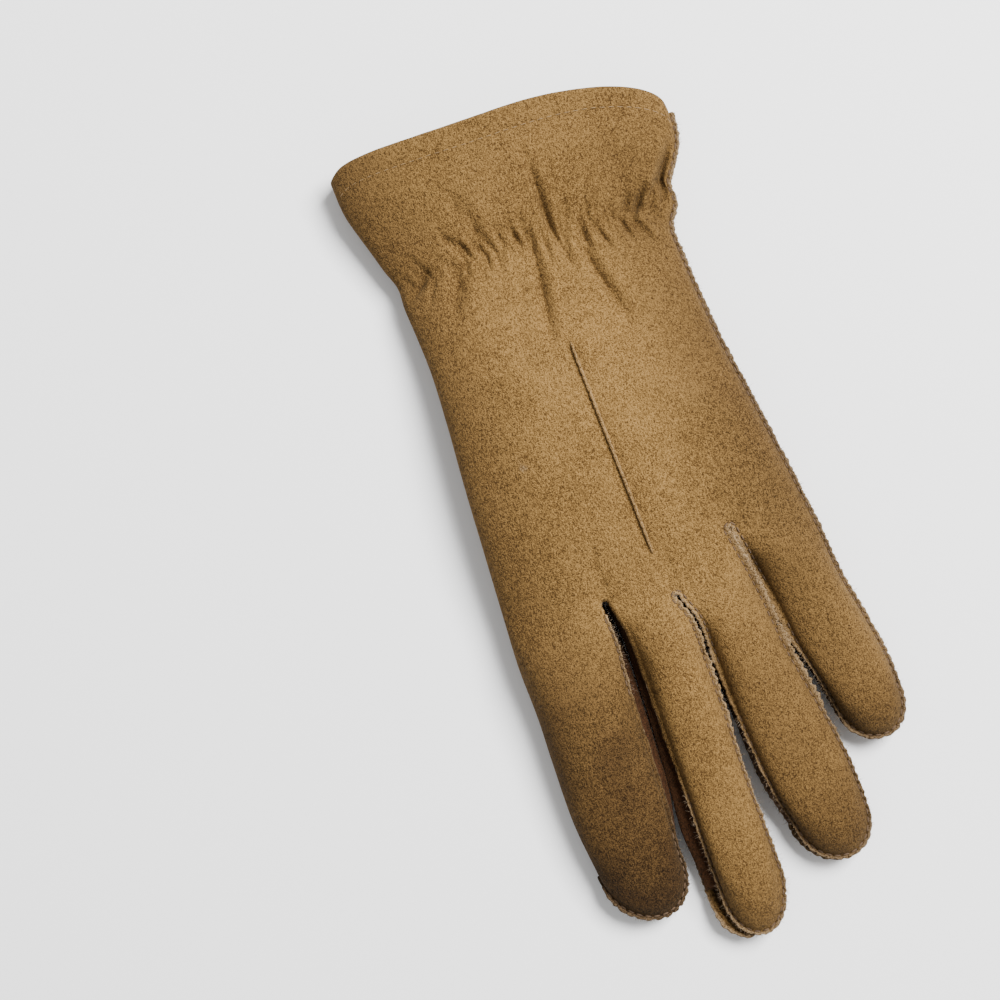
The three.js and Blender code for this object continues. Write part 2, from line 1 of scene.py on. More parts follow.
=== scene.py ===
# %% [markdown]
# # A suede dress glove, palm down
#
# The real glove is cut from flat pieces of suede. The trank is its back and its palm in one piece, folded
# along the index finger. Narrow fourchettes are the side walls of the fingers, and the thumb is a tube that
# is sewn into a hole in the palm. All edges are sewn with their cut sides outwards, so pale ragged rims run
# round the fingers. This lesson lays each piece of leather on the solids of the frame as a fine sheet, gives
# it its thickness, and then dyes and brushes the suede with nodes.

# %% Load the frame
import math

import bmesh
import bpy
import numpy as np
from mathutils import Matrix, Vector, noise


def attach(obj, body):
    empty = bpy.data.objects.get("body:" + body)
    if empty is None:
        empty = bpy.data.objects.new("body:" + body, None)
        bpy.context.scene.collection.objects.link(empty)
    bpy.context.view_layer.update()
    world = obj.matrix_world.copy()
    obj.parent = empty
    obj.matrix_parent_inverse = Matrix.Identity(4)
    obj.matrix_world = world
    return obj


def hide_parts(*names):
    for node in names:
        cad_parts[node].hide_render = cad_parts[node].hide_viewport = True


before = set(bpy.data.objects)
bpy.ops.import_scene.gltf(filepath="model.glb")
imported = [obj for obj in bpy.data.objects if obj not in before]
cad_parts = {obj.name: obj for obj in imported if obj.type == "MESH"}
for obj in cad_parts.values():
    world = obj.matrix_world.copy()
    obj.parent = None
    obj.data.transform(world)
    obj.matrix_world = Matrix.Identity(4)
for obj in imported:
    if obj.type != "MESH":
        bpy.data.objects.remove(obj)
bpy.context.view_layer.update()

MM = 0.001
print("solids in the frame:", sorted(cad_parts))

# %% [markdown]
# ## The camera
#
# The photograph looks straight down on the glove, turned a little, so a lens above the middle of the glove
# is enough. It comes first, because every later choice is judged through it.

# %% Camera
CAMERA_PLACE = (-37.5, 18.6, 609)
CAMERA_TURN = math.radians(-17.4)
LENS = 74.5
SENSOR = 36

lens = bpy.data.cameras.new("lens")
lens.lens = LENS
lens.sensor_width = SENSOR
camera = bpy.data.objects.new("camera", lens)
camera.location = Vector(CAMERA_PLACE) * MM
camera.rotation_euler = (0, 0, CAMERA_TURN)
bpy.context.collection.objects.link(camera)
bpy.context.scene.camera = camera
print("camera height above the floor:", CAMERA_PLACE[2], "mm")

# %% [markdown]
# ## Sizes of the glove
#
# The tables are in millimetres, in the frame that the solids use. X runs from the index finger to the little
# finger, Y from the fingertips to the cuff, and the glove rests on Z = 0. A row is one section of the hand or
# of a finger, so a shape can be changed by changing a few numbers.

# %% Tables
def table(names, *rows):
    return dict(zip(names.split(), np.array(rows, float).T))


LEATHER = 1.0
SEAM_HALF = 1.15
STITCH_PITCH = 2.6
HEM_TURN = 1.1
HEM_DEPTH = 7.0
HEM_STITCHES = 5.6
WEB_ROUND = 2.4

CUFF_EDGE = table(
    "x y",
    (-57, 120.5), (-53, 122.8), (-46, 123.9), (-20, 124.3), (4, 124.7),
    (18, 123.4), (29, 121), (37, 117.8), (41.3, 114.6), (42.6, 111),
)

HAND = table(
    "y fold seam side top base",
    (111, -56, 42.6, 8.5, 18.5, -1),
    (104, -53.9, 42.2, 8.3, 17.6, -1),
    (98, -51.8, 39.6, 8, 16.6, -1),
    (92, -49.8, 36, 7.7, 15.4, -0.6),
    (86, -47.5, 36.2, 7.5, 14.8, -0.6),
    (80, -47.4, 33, 8, 15.8, -0.4),
    (72, -46.6, 33.3, 9, 18, 0.2),
    (60, -45.6, 34.3, 10.8, 20.8, 2.2),
    (45, -45.6, 36, 12.4, 23.2, 4),
    (25, -46.2, 39.7, 13, 24.4, 4.7),
    (5, -46.5, 43.5, 12.6, 24, 4.7),
    (-15, -46.8, 47.1, 11, 21.6, 3.4),
)

FINGER_HEIGHTS = table(
    "share side top upper lower base",
    (0, 10.5, 20.5, 17, 4.2, 2),
    (0.25, 8, 18, 13, 4, -0.6),
    (0.55, 7, 16.5, 12.3, 4, -0.8),
    (0.8, 6.4, 15.2, 11, 4, -0.8),
    (1, 6, 14, 8.4, 4, -0.6),
)

WEBS = table(
    "x y width soft wide span",
    (-17.8, -16.7, 4.5, 1, 0, 0.16),
    (2.4, -20.4, 4.3, 0.15, 0.45, 0.55),
    (22.5, -6.5, 4.4, 0, 1, 0.72),
)
WEB_WIDE = 0.5

# Each finger's value of shade and wear says how much darker it is painted: partly wear, partly painted shade.
FINGERS = [
    {
        "left": "fold", "right": "fork", "tip": (-28.5, -110.4),
        "soft": 0, "soft_right": 0.8, "roll": 0, "worn": 1.3,
        "sections": table(
            "y left right",
            (-30, -46.9, -18.6), (-45, -46, -18.9), (-60, -45.8, -18.8),
            (-78, -45.2, -18.6), (-94.5, -42.8, -19.2),
        ),
    },
    {
        "left": "fork", "right": "fork", "tip": (-1.5, -123.6),
        "soft": 1, "soft_right": 0, "roll": -3.5, "worn": 0.35,
        "sections": table(
            "y left right",
            (-30, -13, 3.4), (-45, -12.1, 4.8), (-60, -11.7, 5.4),
            (-80, -10.9, 5.8), (-95, -10.4, 6.8), (-108, -9.7, 7.6),
        ),
    },
    {
        "left": "fork", "right": "fork", "tip": (28, -109.6),
        "soft": 0.4, "soft_right": 0, "roll": -1, "worn": 0.75,
        "sections": table(
            "y left right",
            (-30, 7.6, 25.4), (-45, 9.1, 27.6), (-60, 10, 30.8),
            (-75, 11.7, 34.3), (-86, 13.6, 36.1), (-96, 16.5, 36.9),
        ),
    },
    {
        "left": "fork", "right": "sewn", "tip": (48.6, -79.4),
        "soft": 0.4, "soft_right": 0, "roll": 0, "worn": 0.75,
        "sections": table(
            "y left right", (-31, 30, 49.7), (-46, 32.4, 53.3), (-58, 35.8, 55.7), (-67, 38.1, 56.4)
        ),
    },
]
print("length of the glove:", CUFF_EDGE["y"].max() - FINGERS[1]["tip"][1], "mm")

# %% [markdown]
# ## Small sums
#
# A sheet of leather has tens of thousands of points, so every sum here works on whole numpy arrays. `mix`
# goes from one value to another, `ease` starts and stops softly, `bump` is a soft hill, `crease` a sharper
# valley, and `arch` is the cross-section of a soft tube that has been pressed flat.

# %% Sums
def mix(a, b, k):
    return a + (b - a) * k


def ease(k):
    k = np.clip(k, 0, 1)
    return k**2 * (3 - 2 * k)


def bump(k):
    return np.exp(-(k**2))


def crease(k):
    return np.exp(-(np.abs(k) ** 1.35))


def arch(s, squareness, sharpness):
    return np.clip(1 - np.abs(2 * s - 1) ** squareness, 0, 1) ** sharpness


def smooth(xs, ys):
    """A smooth function through the values ys at the places xs."""
    order = np.argsort(xs)
    xs, ys = xs[order], ys[order]
    slopes = np.gradient(ys, xs)

    def at(x):
        x = np.clip(x, xs[0], xs[-1])
        i = np.clip(np.searchsorted(xs, x) - 1, 0, len(xs) - 2)
        step = xs[i + 1] - xs[i]
        k = (x - xs[i]) / step
        start = (1 + 2 * k) * (1 - k) ** 2 * ys[i] + k * (1 - k) ** 2 * step * slopes[i]
        return start + k**2 * (3 - 2 * k) * ys[i + 1] + k**2 * (k - 1) * step * slopes[i + 1]

    return at


def through(points):
    """A centripetal Catmull-Rom curve in plan, as a function of the share of its length."""
    points = np.array(points, float)
    padded = np.vstack([2 * points[0] - points[1], points, 2 * points[-1] - points[-2]])
    k = np.linspace(0, 1, 40, endpoint=False)[:, None]
    pieces = []
    for a, b, c, d in zip(padded, padded[1:], padded[2:], padded[3:]):
        before, here, after = (np.linalg.norm(q - p) ** 0.5 for p, q in ((a, b), (b, c), (c, d)))
        leave = here * ((b - a) / before - (c - a) / (before + here) + (c - b) / here)
        arrive = here * ((c - b) / here - (d - b) / (here + after) + (d - c) / after)
        square = (3 * (c - b) - 2 * leave - arrive) * k**2
        pieces.append(b + leave * k + square + (2 * (b - c) + leave + arrive) * k**3)
    path = np.vstack([*pieces, points[-1:]])
    reach = lengths_along(path)

    def at(share):
        return row_at(path, reach, np.clip(share, 0, 1) * reach[-1])

    return at


def lengths_along(path):
    return np.concatenate([[0], np.cumsum(np.linalg.norm(np.diff(path, axis=0), axis=1))])


def row_at(path, reach, distance):
    return np.stack([np.interp(distance, reach, column) for column in path.T], -1)


def patch(head, foot, left, right):
    """A patch in plan between four curves."""
    corners = head(0.0), head(1.0), foot(0.0), foot(1.0)

    def at(s, t):
        s, t = s[:, None], t[:, None]
        p = head(s[:, 0]) * (1 - t) + foot(s[:, 0]) * t + left(t[:, 0]) * (1 - s) + right(t[:, 0]) * s
        p = p - corners[0] * (1 - s) * (1 - t) - corners[1] * s * (1 - t)
        return p - corners[2] * (1 - s) * t - corners[3] * s * t

    return at


# %% [markdown]
# ## The layout in plan
#
# The back and the palm share one layout: a patch for the hand, from the cuff to the knuckles, and a patch
# for each finger, whose far side is a rounded tip. The knuckle line crosses a short web between two fingers.

# %% Layout
cuff_edge = through(list(zip(CUFF_EDGE["x"], CUFF_EDGE["y"])))
hand_fold = list(zip(HAND["fold"], HAND["y"]))
hand_seam = list(zip(HAND["seam"], HAND["y"]))
web_ends = [
    (x + side * width / 2, y - WEB_ROUND)
    for x, y, width in zip(WEBS["x"], WEBS["y"], WEBS["width"])
    for side in (-1, 1)
]
roots = np.array([hand_fold[-1], *web_ends, hand_seam[-1]])
root_reach = lengths_along(roots)
root_shares = root_reach / root_reach[-1]


def knuckles(share):
    """The line through the finger roots. Each web is half an ellipse, round on the cuff's side."""
    share = np.asarray(share, float)
    p = row_at(roots, root_shares, share)
    for i in range(len(WEBS["x"])):
        start, end = root_shares[2 * i + 1 : 2 * i + 3]
        k = np.clip((share - start) / (end - start), 0, 1)
        inside = (k > 0) & (k < 1)
        turn = np.pi * k
        p[..., 0] = np.where(inside, WEBS["x"][i] - WEBS["width"][i] / 2 * np.cos(turn), p[..., 0])
        p[..., 1] = p[..., 1] + WEB_ROUND * np.sin(turn) * inside
    return p


def fingertip(left, right, tip):
    """Half an ellipse from one side of a finger round its tip to the other."""
    middle = (left + right) / 2
    half, down = left - middle, np.array(tip) - middle

    def at(share):
        turn = np.pi * np.asarray(share)[..., None]
        return middle + half * np.cos(turn) + down * np.clip(np.sin(turn), 0, 1) ** 0.92

    return at


def finger_plan(i):
    finger = FINGERS[i]
    rows = finger["sections"]
    left = [roots[2 * i], *zip(rows["left"], rows["y"])]
    right = [roots[2 * i + 1], *zip(rows["right"], rows["y"])]
    tip = fingertip(np.array(left[-1]), np.array(right[-1]), finger["tip"])
    return patch(lambda s: knuckles(across_hand(i, s)), tip, through(left), through(right))


def across_hand(i, s):
    return mix(root_shares[2 * i], root_shares[2 * i + 1], s)


hand_plan = patch(cuff_edge, knuckles, through([cuff_edge(0.0), *hand_fold]), through(hand_seam))
finger_plans = [finger_plan(i) for i in range(len(FINGERS))]
print("width of the hand at the knuckles:", round(root_reach[-1], 1), "mm")

# %% [markdown]
# ## The heights of back and palm
#
# An elastic under the wrist gathers the leather. It leaves a few long furrows, which are listed one by one,
# and many fine puckers that fan out across the elastic, which come from a seeded list. Each is a narrow
# valley along a bent line, with a wide soft hollow round it. A furrow is its depth, its half width and its
# line.

# %% Furrows and puckers
FURROWS = [
    (1.6, 1, [(-1.4, 111.3), (-0.9, 106), (-0.6, 98.8), (-0.7, 92.4), (0, 88.2), (1.4, 82.4), (2.3, 77)]),
    (1.8, 1.35, [(-6.9, 87.9), (-7.1, 81.5), (-7.7, 75.2), (-8.5, 69), (-9.1, 62.8), (-9.7, 57.9)]),
    (1.8, 1.3, [(6.8, 83.5), (8.1, 75.3), (9.3, 69.9), (11.1, 64.3), (12.6, 57.4)]),
    (1.3, 0.8, [(7.6, 87), (8.9, 80.1)]),
    (1.3, 0.8, [(12.5, 86), (14.7, 77.9)]),
    (1.5, 0.9, [(19.2, 87), (21.9, 78.1)]),
    (1.2, 0.9, [(23.8, 84), (27.1, 76.5)]),
    (1.4, 0.8, [(29.5, 93), (23, 85)]),
    (1.1, 0.7, [(23.9, 91.2), (20.4, 85.8)]),
    (1.2, 0.8, [(34, 94), (28.3, 86.9)]),
    (1, 3.4, [(24, 105), (23.2, 94.9), (21.5, 86)]),
    (1.7, 0.9, [(-37, 88.5), (-42.1, 83.1), (-46.3, 80.2)]),
    (0.8, 0.8, [(-31.2, 96.2), (-26.7, 91.1)]),
    (0.9, 0.9, [(-27, 93.5), (-24.7, 87)]),
    (1.1, 1.6, [(-22.1, 101.3), (-21.3, 95.3), (-21.1, 88)]),
    (0.7, 1.8, [(-24.9, 106), (-24.3, 97.6)]),
    (1.1, 2, [(-27, 88.5), (-30.2, 82.3), (-34.3, 72)]),
    (0.8, 0.8, [(-16, 94.3), (-14.3, 88)]),
    (0.8, 0.8, [(-13, 92.7), (-9.9, 87)]),
    (3.4, 1.3, [(40.6, 102), (37, 97), (34.4, 92.9), (34, 88)]),
]
ELASTIC = {"x": -2, "y": 88, "bend": 0.0025}
FAN = {"up": 0.02, "down": 0.011}
PUCKER_COUNT = 38
WRIST = {"from": 66, "to": 107, "left": 0.03, "right": 0.985}
CREASE_DEPTH = 3.4
VALLEY = {"start": 0.86, "over": 0.2, "width": 0.06, "back": 1.2, "palm": 1.2}

chance = np.random.default_rng(7)


def elastic_y(x):
    return ELASTIC["y"] - ELASTIC["bend"] * (x - ELASTIC["x"]) ** 2


def make_puckers():
    """Short fine furrows across the elastic, closer together towards the sewn side."""
    lines = []
    for k in range(PUCKER_COUNT):
        x = mix(-44, 33, ((k + chance.uniform(-0.3, 0.3)) / PUCKER_COUNT) ** 0.8)
        y = elastic_y(x) + chance.uniform(-2.5, 2.5)
        up, down = chance.uniform(2.5, 8, 2)
        lean = chance.uniform(-0.2, 0.2)
        spread = x - ELASTIC["x"]
        above = (x + (lean + FAN["up"] * spread) * up, y + up)
        below = (x + (FAN["down"] * spread - lean) * down, y - down)
        lines.append((chance.uniform(0.4, 0.95), chance.uniform(0.6, 0.95), [above, (x, y), below]))
    return lines


def from_segment(x, y, x0, y0, x1, y1):
    """The share along a line at which it is nearest, and the distance to it."""
    run, rise = x1 - x0, y1 - y0
    share = np.clip(((x - x0) * run + (y - y0) * rise) / (run**2 + rise**2), 0, 1)
    return share, np.hypot(x - x0 - share * run, y - y0 - share * rise)


def from_line(x, y, line):
    """The same for a line of several segments."""
    reach = lengths_along(np.array(line))
    share, away = np.zeros_like(x), np.full_like(x, np.inf)
    for k in range(len(line) - 1):
        part, gap = from_segment(x, y, *line[k], *line[k + 1])
        nearer = gap < away
        share[nearer] = mix(reach[k], reach[k + 1], part[nearer]) / reach[-1]
        away[nearer] = gap[nearer]
    return share, away


folds = FURROWS + make_puckers()


def gathers(x, y, s):
    """How far the furrows sink, and how much painted shade darkens the nap in them."""
    depth, shade = np.zeros_like(x), np.zeros_like(x)
    for deep, width, line in folds:
        share, away = from_line(x, y, line)
        deep_here = deep * np.sin(np.pi * mix(0.08, 0.92, share)) ** 0.8 * ease(30 * (1 - s)) * ease(12 * s)
        # The narrow valley is painted darker as well: painted shade.
        shade += deep_here * crease(away / width)
        ridge = 0.2 * bump(away / width - 2.3)
        depth += deep_here * (crease(away / width) + 0.22 * bump(away / (3.2 * width)) - ridge)
    return depth, np.minimum(0.8, shade / CREASE_DEPTH)


print("furrows and puckers:", len(folds))

# %% [markdown]
# The tuck down the back is pressed up from below and sewn along its foot, so the leather beside it is drawn
# down. Large soft unevenness from `noise` keeps the hand from looking moulded.

# %% Height functions
CROWN = 2.5
FINGER_CROWN = 2.2
ROUND_SIDE = 0.5
FORK_SIDE = 0.72
ROOT_BLEND = 0.26
TIP_ROUND = {"from": 0.85, "power": 7, "sharpness": 0.6}
TUCK = {"across": 0.477, "start": 0.475, "end": 0.91}
THUMB_HOLE = {"x": -24.5, "y": 41, "long": 13.3, "wide": 12.3}
THUMB_HEADING = math.radians(-60)
DRAPE = {"height": 9.5, "half": 14.6, "length": 42, "beyond": 16, "slack": 1}
HILLS = ((26, 0.5, 1), (9, 0.22, 2), (3.4, 0.07, 3))
PALM_GATHER = {"rise": 1.1, "deep": 0.7, "count": 15, "y": 86, "width": 13}

side_z, top_z, base_z = (smooth(HAND["y"], HAND[key]) for key in ("side", "top", "base"))
finger_z = {
    key: smooth(FINGER_HEIGHTS["share"], FINGER_HEIGHTS[key])
    for key in ("side", "top", "upper", "lower", "base")
}


def valley(s, t):
    webs = (root_shares[1:-2:2] + root_shares[2:-1:2]) / 2
    dips = sum(bump((s - web) / VALLEY["width"]) for web in webs)
    return dips * ease((t - VALLEY["start"]) / VALLEY["over"])


def thumb_lift(x, y):
    toward = DRAPE["length"] * np.array([math.cos(THUMB_HEADING), math.sin(THUMB_HEADING)])
    start = THUMB_HOLE["x"], THUMB_HOLE["y"]
    _, away = from_segment(x, y, *start, start[0] + toward[0], start[1] + toward[1])
    return mix(DRAPE["height"], -DRAPE["slack"], ease((away - DRAPE["half"]) / DRAPE["beyond"]))


def unevenness(points, size, depth, seed):
    """Soft random hills and hollows of one size, in millimetres."""
    return depth * np.array([noise.noise(Vector((x / size, y / size, seed))) for x, y, _ in points])


def hills(points):
    """Back and palm rise and sink together, so the sewn edges stay closed. The floor keeps them level."""
    raised = sum(unevenness(points, size, depth, seed) for size, depth, seed in HILLS)
    return raised * ease((points[:, 2] - 0.5) / 2)


def with_height(p, z):
    return np.column_stack([p, z])


tuck_shares = np.linspace(TUCK["end"], TUCK["start"], 60)
tuck_x, tuck_y = hand_plan(np.full(60, TUCK["across"]), tuck_shares).T
cuff_line = cuff_edge(np.linspace(0, 1, 120))


def beside_tuck(x, y):
    """How far the tuck's furrow draws the leather down, mostly on the side of the index finger."""
    away = x - np.interp(y, tuck_y, tuck_x)
    along = ease((y - tuck_y[0]) / 3) * ease((tuck_y[-1] - y) / 3)
    stitched = mix(0.5, 1, np.abs(np.cos(np.pi * (tuck_y[-1] - y) / STITCH_PITCH)))
    furrows = 0.45 * stitched * bump((away + 1) / 0.6) + 0.12 * bump((away - 1) / 0.6)
    return along * (furrows + 0.3 * bump(away / 3.5))


def hem_furrow(x, y, t):
    """The row of stitches along the cuff presses a shallow furrow, which ripples a little."""
    depth = np.zeros_like(x)
    near = t < 0.1
    from_cuff = np.hypot(x[near, None] - cuff_line[:, 0], y[near, None] - cuff_line[:, 1])
    away = from_cuff.min(axis=1) - HEM_STITCHES
    ripple = np.sin(2 * np.pi * x[near] / STITCH_PITCH)
    depth[near] = 0.2 * bump(away / 0.7) + 0.06 * ripple * bump(away / 1.4)
    return depth


def hand_back(s, t):
    p = hand_plan(s, t)
    x, y = p.T
    edge = side_z(y) + SEAM_HALF * ease(s * 2)
    z = mix(edge, top_z(y), arch(s, CROWN, 0.5)) - VALLEY["back"] * valley(s, t)
    return with_height(p, z - beside_tuck(x, y) - hem_furrow(x, y, t))


def hand_palm(s, t):
    p = hand_plan(s, t)
    x, y = p.T
    edge = side_z(y) - SEAM_HALF * ease(s * 2)
    low = np.maximum(base_z(y), thumb_lift(x, y))
    z = mix(edge, low, arch(s, CROWN, 0.5)) + VALLEY["palm"] * valley(s, t)
    pucker = PALM_GATHER["deep"] * np.cos(PALM_GATHER["count"] * np.pi * s) * (1 - ease((t - 0.3) / 0.15))
    near_elastic = bump((y - PALM_GATHER["y"]) / PALM_GATHER["width"])
    z = z + (PALM_GATHER["rise"] + pucker) * near_elastic * arch(s, 2, 1)
    return with_height(p, np.maximum(0, z))


def finger_edge(kind, t, face, opened):
    if kind == "fork":
        return finger_z["upper" if face > 0 else "lower"](t)
    return finger_z["side"](t) + face * SEAM_HALF * opened


def finger_face(i, face):
    finger = FINGERS[i]
    hand = hand_back if face > 0 else hand_palm

    def at(s, t):
        p = finger_plans[i](s, t)
        if face < 0:
            p[:, 0] += finger["roll"] * ease((t - 0.35) / 0.5)
        opened = ease(s * 8) * ease((t - 0.9) * 10)
        left = finger_edge(finger["left"], t, face, opened)
        right = finger_edge(finger["right"], t, face, 1)
        tip_edge = finger_z["side"](1.0) + face * SEAM_HALF * (opened if finger["left"] == "fold" else 1)
        toward_tip = ease(6 * np.minimum(s, 1 - s)) * ease((t - TIP_ROUND["from"]) / (1 - TIP_ROUND["from"]))
        edge = mix(mix(left, right, s), tip_edge, toward_tip)
        kinds = np.where(s < 0.5, finger["left"] == "fork", finger["right"] == "fork")
        sharpness = np.where(kinds, FORK_SIDE, ROUND_SIDE)
        crown = finger_z["top" if face > 0 else "base"](t)
        narrow = np.clip(1 - t ** TIP_ROUND["power"], 0, 1) ** TIP_ROUND["sharpness"]
        own = mix(edge, crown, arch(s, FINGER_CROWN, sharpness) * narrow)
        start = hand(across_hand(i, s), np.ones_like(s))[:, 2]
        return with_height(p, np.maximum(0, mix(start, own, ease(t / ROOT_BLEND))))

    return at


# %% [markdown]
# ## Sheets of leather
#
# A panel starts as `create_grid`, and each of its points is carried onto the surface. Grid columns lie closer
# together at a finger's sides, where the leather turns down. Number layers go with the points: `seam` marks
# the edge that is sewn, `closed` says whether back and palm meet there or a fourchette is sewn in, and the
# others say where a rim is turned down or wide, where the nap is raw, and where shade is painted into its
# colour: in creases, and together with wear along the sides, the cuff and the fingertips. The folds at the
# wrist are narrow, so the faces there are split once more before they sink.

# %% Laying a panel
HAND_ROWS = np.concatenate([
    np.linspace(0, 0.08, 18, endpoint=False),
    np.linspace(0.08, 0.5, 58, endpoint=False),
    np.linspace(0.5, 1, 56),
])
FINGER_ROWS = np.linspace(0, 1, 85)
FINGER_COLUMNS = 26
WEB_COLUMNS = 10
LAYERS = ("seam", "closed", "cuff", "fold", "raw", "crease", "soft", "wide", "worn", "across")
SPECK = {"x": -28.4, "y": 25.5, "size": 0.7}


def close_at_sides(count):
    k = np.linspace(0, 1, count + 1)
    return mix(k, (1 - np.cos(np.pi * k)) / 2, 0.7)


def lay_panel(bm, surface, columns, rows, marks):
    """A grid carried onto a surface. marks gives each number layer's values from the shares s and t."""
    made = bmesh.ops.create_grid(bm, x_segments=len(columns) - 1, y_segments=len(rows) - 1, size=0.5)["verts"]
    j = [round((v.co.x + 0.5) * (len(columns) - 1)) for v in made]
    i = [round((v.co.y + 0.5) * (len(rows) - 1)) for v in made]
    s, t = columns[j], rows[i]
    for v, place in zip(made, surface(s, t)):
        v.co = place * MM
    for name, values in marks(s, t).items():
        layer = bm.verts.layers.float[name]
        for v, value in zip(made, values):
            v[layer] = value


def edge_shade_and_wear(s, t):
    """How much darker the hand is painted along both of its sides and at the cuff: partly wear, partly
    painted shade.
    """
    sewn_side = 1.1 * ease(1 - (1 - s) / 0.42) * mix(0.25, 1, ease(t / 0.55))
    return 0.75 * ease(1 - s / 0.3) + sewn_side + 0.3 * ease(1 - t / 0.5)


def finger_marks(i):
    """The marks of a finger. soft is how far its rim is turned down, and wide how much wider it is."""
    finger = FINGERS[i]

    def at(s, t):
        from_left = s if finger["left"] == "fork" else np.ones_like(s)
        from_right = 1 - s if finger["right"] == "fork" else np.ones_like(s)
        sewn = (t == 1) | ((s == 0) & (finger["left"] != "fold")) | (s == 1)
        fold = (s == 0) & (finger["left"] == "fold")
        soft = (s == 0) * finger["soft"] * ease((0.8 - t) / 0.4)
        soft = soft + (s == 1) * finger["soft_right"] * ease((t - 0.3) / 0.15) * ease((0.97 - t) / 0.1)
        wide = np.zeros_like(s)
        for web, side in ((i - 1, s == 0), (i, s == 1)):
            if 0 <= web < len(WEBS["x"]):
                near = side * ease((WEBS["span"][web] - t) / 0.14)
                turned = near * np.where(s == 0, t < 0.3, ease(1 - t / 0.05))
                soft, wide = mix(soft, WEBS["soft"][web], turned), wide + near * WEBS["wide"][web]
        # Painted shade and wear: darker from the hand's sides into the finger, and darker still towards the
        # tip.
        worn = mix(edge_shade_and_wear(across_hand(i, s), 1), finger["worn"], ease(t / 0.5)) + 0.5 * ease((t - 0.7) / 0.3)
        closed = ease(5 * np.minimum(from_left, from_right))
        marks = {"seam": sewn * 1.0, "closed": closed, "fold": fold * 1.0}
        return {**marks, "soft": soft, "wide": wide, "worn": worn}

    return at


def hand_marks(face):
    def at(s, t):
        seam, soft, wide = (s == 1) * 1.0, np.zeros_like(s), np.zeros_like(s)
        for i, (left, right) in enumerate(zip(root_shares[1:-2:2], root_shares[2:-1:2])):
            web = (s > left - 1e-6) & (s < right + 1e-6) & (t == 1)
            seam[web], soft[web], wide[web] = 1, WEBS["soft"][i], WEB_WIDE * WEBS["wide"][i]
        marks = {"seam": seam, "soft": soft, "wide": wide, "cuff": (t == 0) * 1.0, "fold": (s == 0) * 1.0}
        marks["across"] = s
        # The hand is painted darker along its sides and at the cuff: partly wear, partly painted shade.
        marks["closed"], marks["worn"] = (s == 1) * 1.0, edge_shade_and_wear(s, t)
        if face > 0:
            x, y = hand_plan(s, t).T
            # Painted shadow beside the tuck, mostly on the index finger's side, and painted shade in the
            # hem's furrow.
            marks["crease"] = beside_tuck(x, y) / 1.5 + hem_furrow(x, y, t) / 1.2
            marks["raw"] = bump(np.hypot(x - SPECK["x"], y - SPECK["y"]) / SPECK["size"])
        return marks

    return at


def make_panel(face):
    """The back (+1) or the palm (-1) with its four fingers, as one open sheet with its outer face out."""
    bm = bmesh.new()
    for name in LAYERS:
        bm.verts.layers.float.new(name)
    across = close_at_sides(FINGER_COLUMNS if face > 0 else FINGER_COLUMNS // 2)
    web = np.linspace(0, 1, WEB_COLUMNS + 1)[1:-1]
    hand_columns = [
        np.concatenate([across_hand(i, across), mix(root_shares[2 * i + 1], root_shares[2 * i + 2], web)])
        if i < len(FINGERS) - 1
        else across_hand(i, across)
        for i in range(len(FINGERS))
    ]
    hand = hand_back if face > 0 else hand_palm
    lay_panel(bm, hand, np.concatenate(hand_columns), HAND_ROWS, hand_marks(face))
    for i in range(len(FINGERS)):
        lay_panel(bm, finger_face(i, face), across, FINGER_ROWS, finger_marks(i))
    bmesh.ops.remove_doubles(bm, verts=bm.verts, dist=0.02 * MM)
    if face > 0:
        bmesh.ops.reverse_faces(bm, faces=bm.faces)
        gather_wrist(bm)
    for v, hill in zip(bm.verts, hills(places_of(bm.verts))):
        v.co.z += hill * MM
    return bm


def gather_wrist(bm):
    """Splits the faces round the elastic once more, and sinks the furrows and puckers into them."""
    across, crease_shade_layer = (bm.verts.layers.float[name] for name in ("across", "crease"))
    near = {
        v for v in bm.verts
        if WRIST["left"] < v[across] < WRIST["right"] and WRIST["from"] < v.co.y / MM < WRIST["to"]
    }
    edges = [e for e in bm.edges if all(v in near for v in e.verts)]
    bmesh.ops.subdivide_edges(bm, edges=edges, cuts=1, use_grid_fill=True)
    x, y, _ = places_of(bm.verts).T
    for v, depth, shade in zip(bm.verts, *gathers(x, y, values_of(bm, bm.verts, "across"))):
        v.co.z -= depth * MM
        # The furrows and puckers are painted darker too: painted shade.
        v[crease_shade_layer] += shade


# %% [markdown]
# The sewn edge has to be followed in order, round every finger, to set stitches at an even distance. `chain`
# sorts its points, and `grow_edge` extrudes the last row of points once more and puts the new row in place.

# %% Following and growing an edge
def chain(edges, start_key):
    """The points of an open run of edges, in order. It starts at the end for which start_key is least."""
    links = {}
    for edge in edges:
        for a, b in (edge.verts, reversed(edge.verts)):
            links.setdefault(a, []).append(b)
    ends = [v for v, others in links.items() if len(others) == 1]
    line = [min(ends, key=start_key)]
    while len(line) < len(links):
        line.append(next(v for v in links[line[-1]] if len(line) < 2 or v is not line[-2]))
    return line


def grow_edge(bm, line, places):
    """Extrudes the edges along a chain and returns the new chain, moved to its places."""
    edges = [bm.edges.get(pair) for pair in zip(line, line[1:])]
    made = bmesh.ops.extrude_edge_only(bm, edges=edges)["geom"]
    fresh = {item for item in made if isinstance(item, bmesh.types.BMVert)}
    row = [next(e.other_vert(v) for e in v.link_edges if e.other_vert(v) in fresh) for v in line]
    for v, place in zip(row, places):
        v.co = place * MM
    return row


def places_of(line):
    return np.array([v.co for v in line]) / MM


def values_of(bm, line, name):
    layer = bm.verts.layers.float[name]
    return np.array([v[layer] for v in line])


